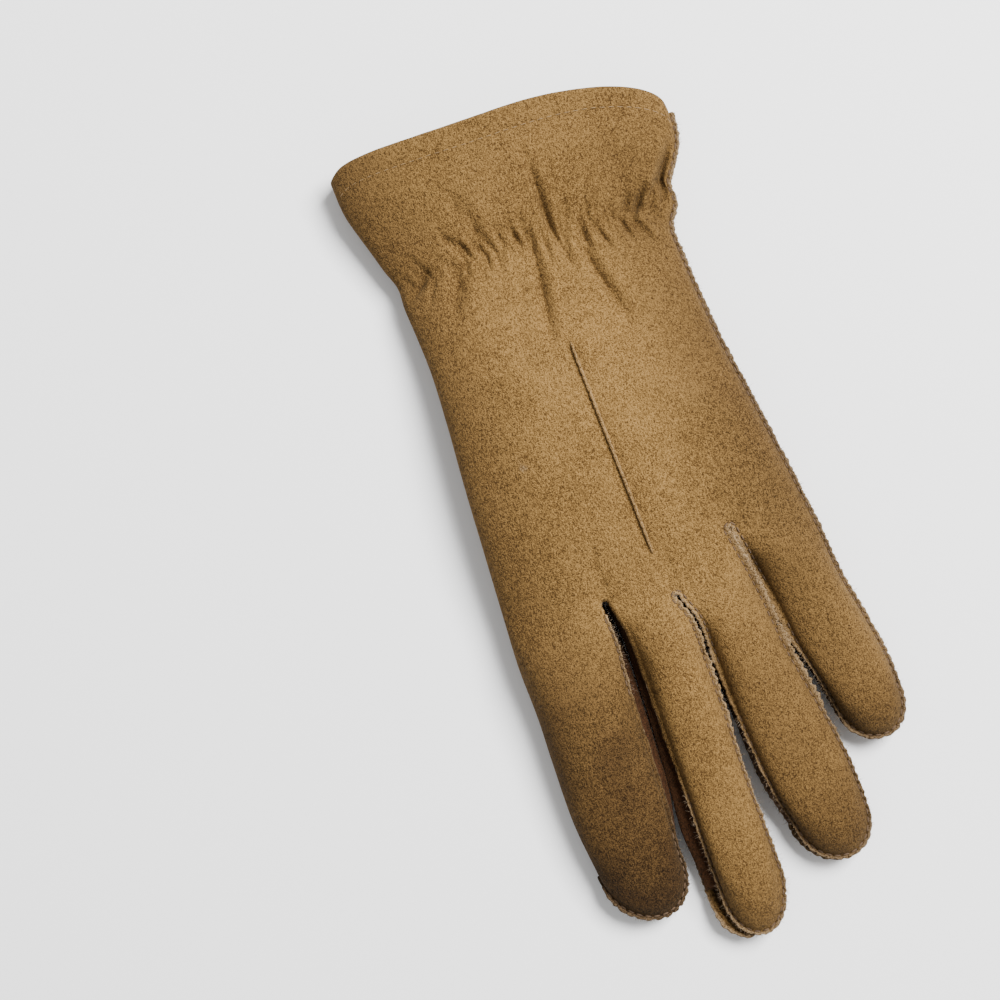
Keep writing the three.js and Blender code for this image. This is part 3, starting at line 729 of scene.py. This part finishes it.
def outward_of(points):
    """The level way out of a panel at each point of an edge that keeps the panel on its left."""
    steps = np.diff(points[:, :2], axis=0)
    normals = np.column_stack([steps[:, 1], -steps[:, 0]])
    normals /= np.linalg.norm(normals, axis=1)[:, None]
    before, after = np.vstack([normals[:1], normals]), np.vstack([normals, normals[-1:]])
    middle = before + after
    middle /= np.linalg.norm(middle, axis=1)[:, None]
    reach = 1 / np.maximum(0.6, (middle * after).sum(1))
    return np.column_stack([middle * reach[:, None], np.zeros(len(points))])


# %% [markdown]
# ## The raw edges
#
# Past the stitches the two cut edges stand out together. Each stitch pulls them in, so the rim is scalloped,
# with a furrow where the thread lies, and the cut is ragged. Four rows of extruded faces give the furrow, the
# rise and the rim. Each row is how far out it lies, how far it rises and how pale it is. Where a finger
# presses on its neighbour, the rim is turned down into the slit, and it shows neither thread nor pale edge.

# %% Raw edges
UP = np.array([0, 0, 1.0])
RIM_ROWS = [(0.28, -0.38, 0), (0.6, 0, 0.45), (0.95, 0.28, 0.85), (1.3, 0.22, 1)]
RIM_SCALLOP = 0.26
RIM_RAGGED = {"depth": 0.32, "noises": ((0.8, 3), (5, 8))}
RIM_CLOSED = 1.2
RIM_START = 0.4
RIM_RUN_IN = 9
RIM_PRESS = 0.35


def add_raw_edge(bm, face):
    seam = bm.verts.layers.float["seam"]
    raw = bm.verts.layers.float["raw"]
    crease_shade_layer = bm.verts.layers.float["crease"]

    def sewn_edges(longest):
        return [
            e for e in bm.edges
            if e.is_boundary and all(v[seam] > 0.5 for v in e.verts) and e.calc_length() > longest * MM
        ]

    for _ in range(2):
        bmesh.ops.subdivide_edges(bm, edges=sewn_edges(0.85), cuts=1)
    line = chain(sewn_edges(0), start_key=lambda v: v.co.y)
    points = places_of(line)
    out = outward_of(points)
    closed, turned, wide = (values_of(bm, line, name) for name in ("closed", "soft", "wide"))
    reach = lengths_along(points)
    wave = np.abs(np.sin(np.pi * reach / STITCH_PITCH)) ** 0.7
    ragged = sum(
        np.array([noise.noise(Vector((d / size, face, seed))) for d in reach])
        for size, seed in RIM_RAGGED["noises"]
    )
    start = mix(RIM_START, 1, ease(reach / RIM_RUN_IN))
    row = line
    for far, rise, paleness in RIM_ROWS:
        grown = far * (1 - RIM_SCALLOP * (1 - wave) * (far > 0.5) * (1 - turned))
        grown = grown + RIM_RAGGED["depth"] * ragged * (far > 0.9)
        grown = grown * mix(1, RIM_CLOSED, closed) * (1 + wide)
        lift = rise * mix(face, 1, closed * (far > 0.5)) * mix(0.3, 1, wave)
        lift = lift + RIM_PRESS * closed * (far > 0.5 and face < 0)
        lift = mix(lift, -0.8 * face * far**1.8, turned)
        row = grow_edge(bm, row, points + out * (start * grown)[:, None] + UP * (start * lift)[:, None])
        pale = paleness * np.maximum(0.1, 1 - 1.6 * turned) * mix(0.6, 0.9, closed)
        for v, value, hidden in zip(row, pale, turned):
            v[raw] = value
            # The row nearest the sheet is painted darker: painted shade in the furrow behind the rim.
            v[crease_shade_layer] = 0.75 * (far < 0.5) * (1 - hidden)
            for name in ("cuff", "fold"):
                v[bm.verts.layers.float[name]] = 0
    return {"points": points, "out": out, "turned": turned, "reach": reach}


back_panel = make_panel(1)
palm_panel = make_panel(-1)
back_seam = add_raw_edge(back_panel, 1)
palm_seam = add_raw_edge(palm_panel, -1)
print("sewn edge of the back:", round(back_seam["reach"][-1]), "mm")
print("sewn edge of the palm:", round(palm_seam["reach"][-1]), "mm")

# %% [markdown]
# ## The trank
#
# The palm gets its oval thumb hole, and then joins the back along the fold of the index finger. The cuff's
# edge is turned over a soft roll and runs down inside as a hem. `Solidify` gives the sheet its thickness
# inwards. `Decimate` then merges the flattest faces, because only the folds and the rims need so fine a grid.

# %% Trank
TRIANGLES_MOST = 190_000


def cut_thumb_hole(bm):
    """Takes the faces out of the oval and draws the edge of the hole onto it."""
    turn = Matrix.Rotation(-THUMB_HEADING, 3, "Z")
    centre = Vector((THUMB_HOLE["x"], THUMB_HOLE["y"], 0)) * MM
    size = Vector((THUMB_HOLE["long"], THUMB_HOLE["wide"])) * MM

    def oval(point):
        local = turn @ (point - centre)
        return math.hypot(local.x / size.x, local.y / size.y)

    inside = [f for f in bm.faces if oval(f.calc_center_median()) < 1]
    rim = {v for f in inside for v in f.verts if any(oval(g.calc_center_median()) >= 1 for g in v.link_faces)}
    bmesh.ops.delete(bm, geom=inside, context="FACES")
    for v in rim:
        if v.is_valid:
            level = v.co - centre
            scale = 1 / oval(v.co)
            v.co = centre + Vector((level.x * scale, level.y * scale, level.z))


def turn_hem(bm):
    """Rolls the cuff's edge inwards and runs it down inside the glove."""
    cuff = bm.verts.layers.float["cuff"]
    edges = [e for e in bm.edges if e.is_boundary and all(v[cuff] > 0.5 for v in e.verts)]
    line = chain(edges, start_key=lambda v: -v.co.z)
    points = places_of(line)
    inward = -np.array([v.normal for v in line])
    on_edge = set(line)
    inner = [next(w for e in v.link_edges if (w := e.other_vert(v)) not in on_edge) for v in line]
    along = points - places_of(inner)
    along /= np.linalg.norm(along, axis=1)[:, None]
    reach = lengths_along(points)
    room = ease(np.minimum(reach, reach[-1] - reach) / 12)
    turn = HEM_TURN * mix(0.45, 1, room)
    row = line
    for angle in np.radians([30, 60, 90, 120, 150, 180]):
        over, across = turn * math.sin(angle), turn * (1 - math.cos(angle))
        row = grow_edge(bm, row, points + along * over[:, None] + inward * across[:, None])
    for depth in (1.5, 3.5, 5.5, HEM_DEPTH):
        row = grow_edge(bm, row, points - along * depth + inward * (2 * turn)[:, None])


def new_piece(name, bm):
    mesh = bpy.data.meshes.new(name)
    bm.to_mesh(mesh)
    bm.free()
    mesh.shade_smooth()
    piece = bpy.data.objects.new(name, mesh)
    bpy.context.collection.objects.link(piece)
    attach(piece, "root")
    return piece


def apply_modifier(piece, modifier):
    bpy.context.view_layer.objects.active = piece
    with bpy.context.temp_override(object=piece, active_object=piece):
        bpy.ops.object.modifier_apply(modifier=modifier.name)


def thin_out(piece):
    """Merges the flattest faces of a dense piece until it has no more triangles than allowed."""
    piece.data.calc_loop_triangles()
    count = len(piece.data.loop_triangles)
    if count > TRIANGLES_MOST:
        thin = piece.modifiers.new("thin", "DECIMATE")
        thin.ratio = TRIANGLES_MOST / count
        apply_modifier(piece, thin)


def give_thickness(piece, thickness):
    wall = piece.modifiers.new("thickness", "SOLIDIFY")
    wall.thickness = thickness * MM
    wall.offset = -1
    wall.use_even_offset = True
    wall.thickness_clamp = 1
    apply_modifier(piece, wall)
    thin_out(piece)
    for v in piece.data.vertices:
        v.co.z = max(v.co.z, 0)


def make_trank():
    cut_thumb_hole(palm_panel)
    joined = bpy.data.meshes.new("joined")
    palm_panel.to_mesh(joined)
    back_panel.from_mesh(joined)
    bm = back_panel
    fold = bm.verts.layers.float["fold"]
    bmesh.ops.remove_doubles(bm, verts=[v for v in bm.verts if v[fold] > 0.5], dist=0.05 * MM)
    bm.normal_update()
    turn_hem(bm)
    piece = new_piece("trank_suede", bm)
    give_thickness(piece, LEATHER)
    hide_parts("trank")
    return piece


trank = make_trank()
print("faces of the trank:", len(trank.data.polygons))

# %% [markdown]
# ## The fourchettes
#
# A fourchette is one long strip. It runs up the side of a finger, round the web and down the next finger, and
# its own cut edges are sewn under those of the back and the palm. Its section is one row of a grid: out under
# the rim of the back, in to the stitches, down a bulging wall, and out again over the rim of the palm. The
# wall swells most close to the web, where it meets the wall across the slit.

# %% Fourchettes
FORK_THICKNESS = 0.6
FORK_EDGE = [(1.2, -1.08, 0.6), (1.16, -1.6, 0.5), (0.75, -2, 0.1), (0.95, -2.7, 0)]
FORK_WALL = 9
FORK_BULGE = {"least": 0.3, "most": 3.2, "clear": 1.1}
FORK_SAG = 1.6
FORK_MEET = (0.86, 0.42, 0.5)
FORK_COUNTS = (150, 16, 150)


def span_of(seam, face, i):
    """The stretch of a seam from one fingertip round the web to the next, as points and ways out."""
    one = np.ones(1)
    ends = [
        finger_face(i, face)(one, one)[0],
        knuckles(root_shares[2 * i + 1]),
        knuckles(root_shares[2 * i + 2]),
        finger_face(i + 1, face)(0 * one, one)[0],
    ]
    places = seam["points"][:, :2]
    reach = seam["reach"][[np.hypot(*(places - end[:2]).T).argmin() for end in ends]]
    stretches = [np.linspace(a, b, n, endpoint=False) for a, b, n in zip(reach, reach[1:], FORK_COUNTS)]
    stations = np.concatenate([*stretches, reach[-1:]])
    rows = row_at(np.column_stack([seam["points"], seam["out"]]), seam["reach"], stations)
    return stations, rows[:, :3], rows[:, 3:]


def fork_bulge(places, i):
    """How far the wall swells into the slit: until it meets the opposite one, and less towards the tips."""
    left, right = places[: FORK_COUNTS[0]], places[-FORK_COUNTS[2] :]
    apart = np.hypot(*np.moveaxis(left[:, None, :2] - right[None, :, :2], -1, 0))
    half = np.concatenate([apart.min(1), np.zeros(len(places) - len(left) - len(right)), apart.min(0)]) / 2
    reach = lengths_along(places)
    from_web = np.abs(2 * reach / reach[-1] - 1)
    meeting = ease((FORK_MEET[i] + 0.12 - from_web) / 0.24)
    swell = np.clip(half - FORK_BULGE["clear"], FORK_BULGE["least"], FORK_BULGE["most"])
    return mix(FORK_BULGE["least"], swell, meeting)


def fork_section(upper, lower, wave, bulge):
    """Rows of points from the upper edge to the lower one, each with its paleness."""
    (top, top_out), (foot, foot_out) = upper, lower
    room = np.clip((top[:, 2] - foot[:, 2]) / 9, 0.45, 1)[:, None]
    edges = []
    for start, out, side in ((top, top_out, 1), (foot, foot_out, -1)):
        rim = [
            (start + out * (far * (1 - 0.2 * (1 - wave) * (far > 1)))[:, None] + UP * side * z * room, pale)
            for far, z, pale in FORK_EDGE
        ]
        edges.append(rim)
    (head, _), (toe, _) = edges[0][-1], edges[1][-1]
    wall = []
    for k in np.linspace(0, 1, FORK_WALL + 2)[1:-1]:
        swell = bulge * math.sin(math.pi * k**FORK_SAG) ** 0.8
        wall.append((mix(head, toe, k) + top_out * swell[:, None], 0))
    return edges[0] + wall + edges[1][::-1]


def make_fourchette(i, name):
    stations, top, top_out = span_of(back_seam, 1, i)
    _, foot, foot_out = span_of(palm_seam, -1, i)
    wave = np.abs(np.sin(np.pi * stations / STITCH_PITCH)) ** 0.7
    section = fork_section((top, top_out), (foot, foot_out), wave, fork_bulge(mix(top, foot, 0.5), i))
    bm = bmesh.new()
    raw = bm.verts.layers.float.new("raw")
    x_segments, y_segments = len(section) - 1, len(stations) - 1
    made = bmesh.ops.create_grid(bm, x_segments=x_segments, y_segments=y_segments, size=0.5)["verts"]
    for v in made:
        column, row = round((v.co.x + 0.5) * x_segments), round((v.co.y + 0.5) * y_segments)
        places, paleness = section[column]
        v.co = places[row] * MM
        v[raw] = paleness
    bm.normal_update()
    middle = section[len(section) // 2][0]
    facing = sum(f.normal.dot(Vector(top_out[np.abs(middle - f.calc_center_median() / MM).sum(1).argmin()]))
                 for f in list(bm.faces)[::37])
    if facing < 0:
        bmesh.ops.reverse_faces(bm, faces=bm.faces)
    piece = new_piece(name, bm)
    give_thickness(piece, FORK_THICKNESS)
    return piece


FORKS = ("fourchette_index_middle", "fourchette_middle_ring", "fourchette_ring_little")
fourchettes = []
for i, node in enumerate(FORKS):
    strip = make_fourchette(i, node + "_suede")
    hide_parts(node)
    fourchettes.append(strip)
    print(node, "faces:", len(strip.data.polygons))

# %% [markdown]
# ## The thumb
#
# The thumb is a tube of suede from the oval hole of the palm. It turns forwards and lies pressed flat under
# the hand, so its sections lean over from level to upright. A grid is carried round those sections, and its
# last rows close to a point at the tip.

# %% Thumb
THUMB = table(
    "fwd z pitch long wide",
    (0, 11.6, 0, 13, 12), (0, 9.3, 0, 13, 12), (2, 5.2, 18, 11.4, 12.4), (7.6, 4.3, 38, 7, 13),
    (11.2, 4.3, 64, 4.8, 13.4), (14.5, 4.1, 90, 4.3, 13.6), (23, 4, 90, 4.3, 13.8), (33, 4, 90, 4.3, 13.8),
    (41, 3.9, 90, 4.2, 13.2), (47, 3.9, 90, 4.1, 11.6), (51.5, 3.8, 90, 3.8, 9), (54.5, 3.5, 90, 3.2, 5.6),
    (55.8, 3.2, 90, 2.2, 2.8),
)
THUMB_ROWS = 96
THUMB_SIDES = 64
THUMB_CLOSE = 0.94
THUMB_WRINKLE = 0.03

thumb_axis = np.array([math.cos(THUMB_HEADING), math.sin(THUMB_HEADING), 0])
thumb_across = np.cross(UP, thumb_axis)
thumb_column = {key: smooth(np.arange(float(len(THUMB["fwd"]))), THUMB[key]) for key in THUMB}


def thumb_surface(s, t):
    """A point on the thumb from its share round it and its share from the hole to the tip."""
    k = t * (len(THUMB["fwd"]) - 1)
    fwd, z, pitch, long, wide = (thumb_column[key](k) for key in ("fwd", "z", "pitch", "long", "wide"))
    close = np.sqrt(1 - np.clip((t - THUMB_CLOSE) / (1 - THUMB_CLOSE), 0, 1) ** 2)
    turn, lean = 2 * np.pi * s, np.radians(pitch)
    wrinkle = 1 - THUMB_WRINKLE * bump((k - 3) / 2) * (0.5 + 0.5 * np.sin(7 * k + 2 * np.sin(turn)))
    power = mix(1, 0.85, pitch / 90)
    round_long, round_wide = (np.sign(w) * np.abs(w) ** power for w in (np.cos(turn), np.sin(turn)))
    lengthwise = np.outer(np.cos(lean), thumb_axis) + np.outer(np.sin(lean), UP)
    p = np.array([THUMB_HOLE["x"], THUMB_HOLE["y"], 0]) + np.outer(fwd, thumb_axis) + np.outer(z, UP)
    p = p + lengthwise * (long * close * wrinkle * round_long)[:, None]
    p = p + np.outer(wide * close * wrinkle * round_wide, thumb_across)
    p[:, 2] = np.maximum(0, p[:, 2])
    return p


def make_thumb():
    bm = bmesh.new()
    made = bmesh.ops.create_grid(bm, x_segments=THUMB_SIDES, y_segments=THUMB_ROWS, size=0.5)["verts"]
    shares = np.array([v.co.xy for v in made]) + 0.5
    for v, place in zip(made, thumb_surface(*shares.T)):
        v.co = place * MM
    bmesh.ops.remove_doubles(bm, verts=bm.verts, dist=0.02 * MM)
    bmesh.ops.recalc_face_normals(bm, faces=bm.faces)
    piece = new_piece("thumb_suede", bm)
    give_thickness(piece, LEATHER)
    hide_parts("thumb")
    return piece


thumb = make_thumb()
print("faces of the thumb:", len(thumb.data.polygons))

# %% [markdown]
# ## The tuck
#
# The ridge down the back is a pinch of the same suede, sewn along its foot. The stitches draw it in, so it
# looks like a string of small beads. It is a slim closed tube along the back, and it runs out to nothing at
# both ends.

# %% Tuck
TUCK_HALF = 0.55
TUCK_HEIGHT = 0.7
TUCK_SIDES = 12
TUCK_ROWS = 300


def tuck_surface(s, t):
    path = hand_back(np.full_like(t, TUCK["across"]), mix(TUCK["start"], TUCK["end"], t))
    path[:, 2] += hills(path)
    wave = np.abs(np.sin(np.pi * (tuck_y[-1] - path[:, 1]) / STITCH_PITCH)) ** 0.6
    size = np.sqrt(np.clip(1 - np.abs(2 * t - 1) ** 14, 0, 1)) * mix(0.72, 1, wave)
    turn = 2 * np.pi * s
    path[:, 0] += TUCK_HALF * size * np.cos(turn)
    path[:, 2] += TUCK_HEIGHT * size * np.sin(turn) + 0.1
    return path


def make_tuck():
    bm = bmesh.new()
    raw = bm.verts.layers.float.new("raw")
    made = bmesh.ops.create_grid(bm, x_segments=TUCK_SIDES, y_segments=TUCK_ROWS, size=0.5)["verts"]
    shares = np.array([v.co.xy for v in made]) + 0.5
    for v, place in zip(made, tuck_surface(*shares.T)):
        v.co = place * MM
        # The whole tuck is painted a little paler: a painted highlight for its lit ridge.
        v[raw] = 0.2
    bmesh.ops.remove_doubles(bm, verts=bm.verts, dist=0.02 * MM)
    bmesh.ops.recalc_face_normals(bm, faces=bm.faces)
    piece = new_piece("tuck_suede", bm)
    return piece


tuck = make_tuck()
print("length of the tuck:", round(tuck_y[-1] - tuck_y[0], 1), "mm")

# %% [markdown]
# ## Sewing thread
#
# The seams are sewn from outside, and the thread sinks into the furrow behind the rim. Each stitch is a slim
# ellipsoid of few faces from `create_uvsphere`, because there are hundreds of them. Its matrix gives its
# place, its length and its direction.

# %% Stitches
STITCH_RADIUS = 0.26
HEM_STITCH_RADIUS = 0.13
STITCH_SHARE = 0.72
SHOWN_BELOW = 0.3
HEM_LINE = {"from": 0.01, "to": 0.985, "t": 0.0388, "sunk": 0.02, "points": 400}


def add_stitch(bm, start, end, radius):
    way = Vector(end - start)
    turn = way.to_track_quat("Z", "Y").to_matrix().to_4x4()
    size = Matrix.Diagonal((radius, radius, way.length / 2, 1))
    place = Matrix.Translation(Vector((start + end) / 2) * MM)
    bmesh.ops.create_uvsphere(bm, u_segments=6, v_segments=4, radius=MM, matrix=place @ turn @ size)


def sew(name, paths):
    """Stitches along paths of points, one for each length of a stitch."""
    bm = bmesh.new()
    count = 0
    for points, hidden, radius in paths:
        reach = lengths_along(points)
        holes = np.arange(0.5, reach[-1] / STITCH_PITCH) * STITCH_PITCH
        holes = holes[np.interp(holes, reach, hidden) < SHOWN_BELOW]
        half = STITCH_PITCH * STITCH_SHARE / 2
        starts, ends = row_at(points, reach, holes - half), row_at(points, reach, holes + half)
        for start, end in zip(starts, ends):
            add_stitch(bm, start, end, radius)
        count += len(holes)
    piece = new_piece(name, bm)
    return piece, count


def in_furrow(seam, face):
    """The line of the thread, in the furrow behind a rim."""
    return seam["points"] + seam["out"] * 0.3 + UP * face * -0.12


hem_shares = np.linspace(HEM_LINE["from"], HEM_LINE["to"], HEM_LINE["points"])
hem_line = hand_back(hem_shares, np.full_like(hem_shares, HEM_LINE["t"])) - UP * HEM_LINE["sunk"]
hem_line[:, 2] += hills(hem_line)
back_thread, back_count = sew("thread_back", [(in_furrow(back_seam, 1), back_seam["turned"], STITCH_RADIUS)])
palm_thread, palm_count = sew("thread_palm", [(in_furrow(palm_seam, -1), palm_seam["turned"], STITCH_RADIUS)])
hem_thread, hem_count = sew("thread_hem", [(hem_line, np.zeros_like(hem_shares), HEM_STITCH_RADIUS)])
print("stitches:", back_count + palm_count + hem_count)

# %% [markdown]
# ## Loose fibres
#
# A cut edge of suede is never clean: short fibres stand out of it all along. Each is a three-sided cone as
# thin as a hair, with a seeded random place, length and lean.

# %% Fibres
FIBRES = 1500
FIBRE_RADIUS = 0.05
FIBRE_TIP = 0.01
FIBRE_SIDES = 3
FIBRE_LEAN = 0.45


def add_fibre(bm, root, way, length):
    turn = way.to_track_quat("Z", "Y").to_matrix().to_4x4()
    place = Matrix.Translation(Vector(root) * MM + way * (length / 2 * MM))
    bmesh.ops.create_cone(
        bm, cap_ends=True, segments=FIBRE_SIDES, radius1=FIBRE_RADIUS * MM, radius2=FIBRE_TIP * MM,
        depth=length * MM, matrix=place @ turn,
    )


def make_fibres(name, seam, face, count):
    bm = bmesh.new()
    places = chance.uniform(6, seam["reach"][-1], count)
    places = places[np.interp(places, seam["reach"], seam["turned"]) < SHOWN_BELOW]
    rows = row_at(np.column_stack([seam["points"], seam["out"]]), seam["reach"], places)
    for row in rows:
        out = Vector(row[3:]).normalized()
        lean = Vector(chance.normal(0, FIBRE_LEAN, 3))
        way = (out + lean + Vector((0, 0, 0.15 * face))).normalized()
        root = row[:3] + row[3:] * chance.uniform(0.9, 1.4) + UP * face * chance.uniform(-0.4, 0.35)
        if root[2] + way.z * 2 > 0.1:
            add_fibre(bm, root, way, chance.uniform(0.5, 1.3) + chance.exponential(0.2))
    piece = new_piece(name, bm)
    return piece


fibres = [
    make_fibres("fibres_back", back_seam, 1, FIBRES),
    make_fibres("fibres_palm", palm_seam, -1, FIBRES // 3),
]
print("fibres:", sum(len(piece.data.polygons) for piece in fibres) // (FIBRE_SIDES + 2))

# %% [markdown]
# ## Sums on shader sockets
#
# `Shade` wraps a socket so that Python sums build the Math nodes, and `Finish` makes any other node from its
# type, its settings and its inputs. Everything reads Object coordinates, so the nap keeps its size in
# millimetres all over the glove.

# %% Shade and Finish
class Shade:
    """A value in a shader. Sums on it add the nodes that work them out."""

    def __init__(self, finish, socket):
        self.finish, self.socket = finish, socket

    def __add__(self, other):
        return self.finish.maths("ADD", self, other)

    def __radd__(self, other):
        return self.finish.maths("ADD", other, self)

    def __sub__(self, other):
        return self.finish.maths("SUBTRACT", self, other)

    def __rsub__(self, other):
        return self.finish.maths("SUBTRACT", other, self)

    def __mul__(self, other):
        return self.finish.maths("MULTIPLY", self, other)

    def __rmul__(self, other):
        return self.finish.maths("MULTIPLY", other, self)


class Finish:
    """A material that is built node by node."""

    def __init__(self, name):
        self.material = bpy.data.materials.new(name)
        self.material.use_nodes = True
        self.tree = self.material.node_tree
        self.tree.nodes.clear()

    def node(self, kind, settings, inputs, output=0):
        made = self.tree.nodes.new("ShaderNode" + kind)
        for key, value in settings.items():
            setattr(made, key, value)
        for key, value in inputs.items():
            if isinstance(value, Shade):
                self.tree.links.new(value.socket, made.inputs[key])
            else:
                made.inputs[key].default_value = value
        return Shade(self, made.outputs[output]) if made.outputs else None

    def maths(self, operation, a, b):
        return self.node("Math", {"operation": operation}, {0: a, 1: b})

    def limit(self, value):
        return self.node("Clamp", {}, {"Value": value})

    def place(self):
        return self.node("TexCoord", {}, {}, "Object")

    def grain(self, place, size_mm, detail, roughness=0.55):
        """Noise whose hills are about size_mm apart, around 0.5."""
        inputs = {"Vector": place, "Scale": 1 / (size_mm * MM), "Detail": detail, "Roughness": roughness}
        return self.node("TexNoise", {}, inputs, 0)

    def blend(self, share, a, b):
        """Goes from colour a to colour b."""
        return self.node("Mix", {"data_type": "RGBA"}, {0: share, 6: a, 7: b}, 2)

    def attribute(self, name):
        return self.node("Attribute", {"attribute_name": name}, {}, "Fac")

    def cover(self, color, normal, **constants):
        inputs = {"Base Color": color, "Normal": normal, **constants}
        surface = self.node("BsdfPrincipled", {}, inputs)
        self.node("OutputMaterial", {}, {"Surface": surface})
        return self.material


# %% [markdown]
# ## Suede
#
# Suede is the flesh side of the skin, brushed up to a short nap. Seen close it is a mass of fine lighter
# and darker tufts well under a millimetre long. Hands have stroked it in patches, and the hide itself is
# uneven, so each of those has its own size of noise. Shade is painted into the colour of the creases and
# furrows. The cut edge shows the paler inside of the skin. The sides, the cuff and the fingertips, the index
# finger most, are painted darker: partly wear of the nap, partly painted shade where they turn from the
# light.
# The layer `crease`, the layer `raw` and the layer of shade and wear say where.

# %% Suede
NAP = {
    "Roughness": 0.95,
    "Specular IOR Level": 0.08,
    "Sheen Weight": 0.06,
    "Sheen Roughness": 0.5,
    "Sheen Tint": (0.8, 0.6, 0.35, 1),
}
RAW = (0.27, 0.19, 0.11, 1)
# Colours towards which the painted shade and wear darken the suede and its cut edge.
SHADE_AND_WEAR_DARK = (0.006, 0.003, 0.0012, 1)
SHADE_AND_WEAR_LIGHT = (0.05, 0.026, 0.009, 1)
SHADE_AND_WEAR_RAW = (0.08, 0.052, 0.028, 1)


def suede(name, dark, light):
    finish = Finish(name)
    place = finish.place()
    stroked = finish.node("Mapping", {}, {"Vector": place, "Rotation": (0, 0, 0.3), "Scale": (1, 0.55, 1)})
    tufts = finish.grain(stroked, 0.54, 2, 0.7)
    specks = finish.grain(place, 0.33, 1, 0.6)
    clumps = finish.grain(place, 2.6, 3)
    patches = finish.grain(place, 13, 3)
    broad = finish.grain(place, 48, 2)
    fine = (tufts - 0.5) * 2 + (specks - 0.5) * 2.7
    coarse = (clumps - 0.5) * 0.5 + (patches - 0.5) * 0.45 + (broad - 0.5) * 0.5
    # Painted shade in creases: furrows, puckers, beside the tuck and behind the rims.
    crease = finish.limit(finish.attribute("crease"))
    tone = finish.limit(0.5 + fine + coarse - crease * 0.5)
    cut = finish.limit(finish.attribute("raw") * (fine * 1.6 + 0.85))
    # Painted shade and wear darken the sides, the cuff and the fingertips.
    worn = finish.limit(finish.attribute("worn") * (0.35 + patches * 0.5))
    face = finish.blend(tone, finish.blend(worn, dark, SHADE_AND_WEAR_DARK), finish.blend(worn, light, SHADE_AND_WEAR_LIGHT))
    color = finish.blend(cut, face, finish.blend(worn, RAW, SHADE_AND_WEAR_RAW))
    height = tufts + specks * 0.7 + clumps * 0.6
    bump_node = finish.node("Bump", {}, {"Strength": 0.8, "Distance": 0.45 * MM, "Height": height})
    return finish.cover(color, bump_node, **NAP)


tan = suede("tan_suede", (0.05, 0.025, 0.0065, 1), (0.232, 0.133, 0.042, 1))
# The fourchettes are a darker reddish brown suede, painted darker still as painted shade for the deep slits
# between the fingers.
side_tan_painted_shade = suede("side_suede_painted_shade", (0.012, 0.005, 0.002, 1), (0.05, 0.02, 0.008, 1))
for piece in (trank, thumb, tuck):
    piece.data.materials.append(tan)
for piece in fourchettes:
    piece.data.materials.append(side_tan_painted_shade)
print("suedes:", tan.name, side_tan_painted_shade.name)

# %% [markdown]
# ## Thread and fibres
#
# The thread is dyed to match, a little darker and smoother than the suede. The fibres are pale where the cut
# edge is.

# %% Thread and fibres
def plain_fibre(name, dark, light, size_mm):
    finish = Finish(name)
    place = finish.place()
    tone = finish.limit(0.5 + (finish.grain(place, size_mm, 2) - 0.5) * 2)
    bump_node = finish.node("Bump", {}, {"Strength": 0.3, "Distance": 0.1 * MM, "Height": tone})
    return finish.cover(finish.blend(tone, dark, light), bump_node, **{"Roughness": 0.8, "Sheen Weight": 0.1})


thread = plain_fibre("thread", (0.045, 0.022, 0.008, 1), (0.1, 0.055, 0.022, 1), 0.3)
pale_thread = plain_fibre("pale_thread", (0.1, 0.055, 0.02, 1), (0.24, 0.15, 0.06, 1), 0.3)
fluff = plain_fibre("fluff", (0.08, 0.05, 0.022, 1), (0.24, 0.165, 0.095, 1), 1.2)
for piece in (back_thread, palm_thread):
    piece.data.materials.append(thread)
hem_thread.data.materials.append(pale_thread)
for piece in fibres:
    piece.data.materials.append(fluff)

# %% [markdown]
# ## A plain floor and soft light
#
# The photograph has a white ground and even light from above, a little stronger from the upper right. One
# large lamp gives the shading, a weaker one opposite fills it, and a pale world keeps the shadows open. A
# lamp is its place, its size and its power.

# %% Stage
FLOOR_SIZE = 4.0
LAMPS = {"key": ((0.75, 0.42, 1.15), 0.7, 74), "fill": ((-0.9, -0.3, 1.2), 1.4, 2)}
WORLD_STRENGTH = 0.55
floor_mesh = bpy.data.meshes.new("floor")
floor_bm = bmesh.new()
bmesh.ops.create_grid(floor_bm, x_segments=1, y_segments=1, size=FLOOR_SIZE / 2)
floor_bm.to_mesh(floor_mesh)
floor_bm.free()
floor = bpy.data.objects.new("floor", floor_mesh)
bpy.context.collection.objects.link(floor)
ground = Finish("ground")
ground_bump = ground.node("Bump", {}, {"Strength": 0.05, "Height": ground.grain(ground.place(), 30, 2)})
floor_mesh.materials.append(ground.cover((0.9, 0.9, 0.9, 1), ground_bump, Roughness=0.9))


def add_lamp(name, place, size, power):
    lamp = bpy.data.lights.new(name, "AREA")
    lamp.size = size
    lamp.energy = power
    holder = bpy.data.objects.new(name, lamp)
    holder.location = place
    holder.rotation_euler = (-Vector(place)).to_track_quat("-Z", "Y").to_euler()
    bpy.context.collection.objects.link(holder)


for name, (place, size, power) in LAMPS.items():
    add_lamp(name, place, size, power)
world = bpy.data.worlds.new("studio")
world.use_nodes = True
sky = world.node_tree.nodes["Background"].inputs
sky["Color"].default_value = (1, 1, 1, 1)
sky["Strength"].default_value = WORLD_STRENGTH
bpy.context.scene.world = world
print("lamps:", list(LAMPS))
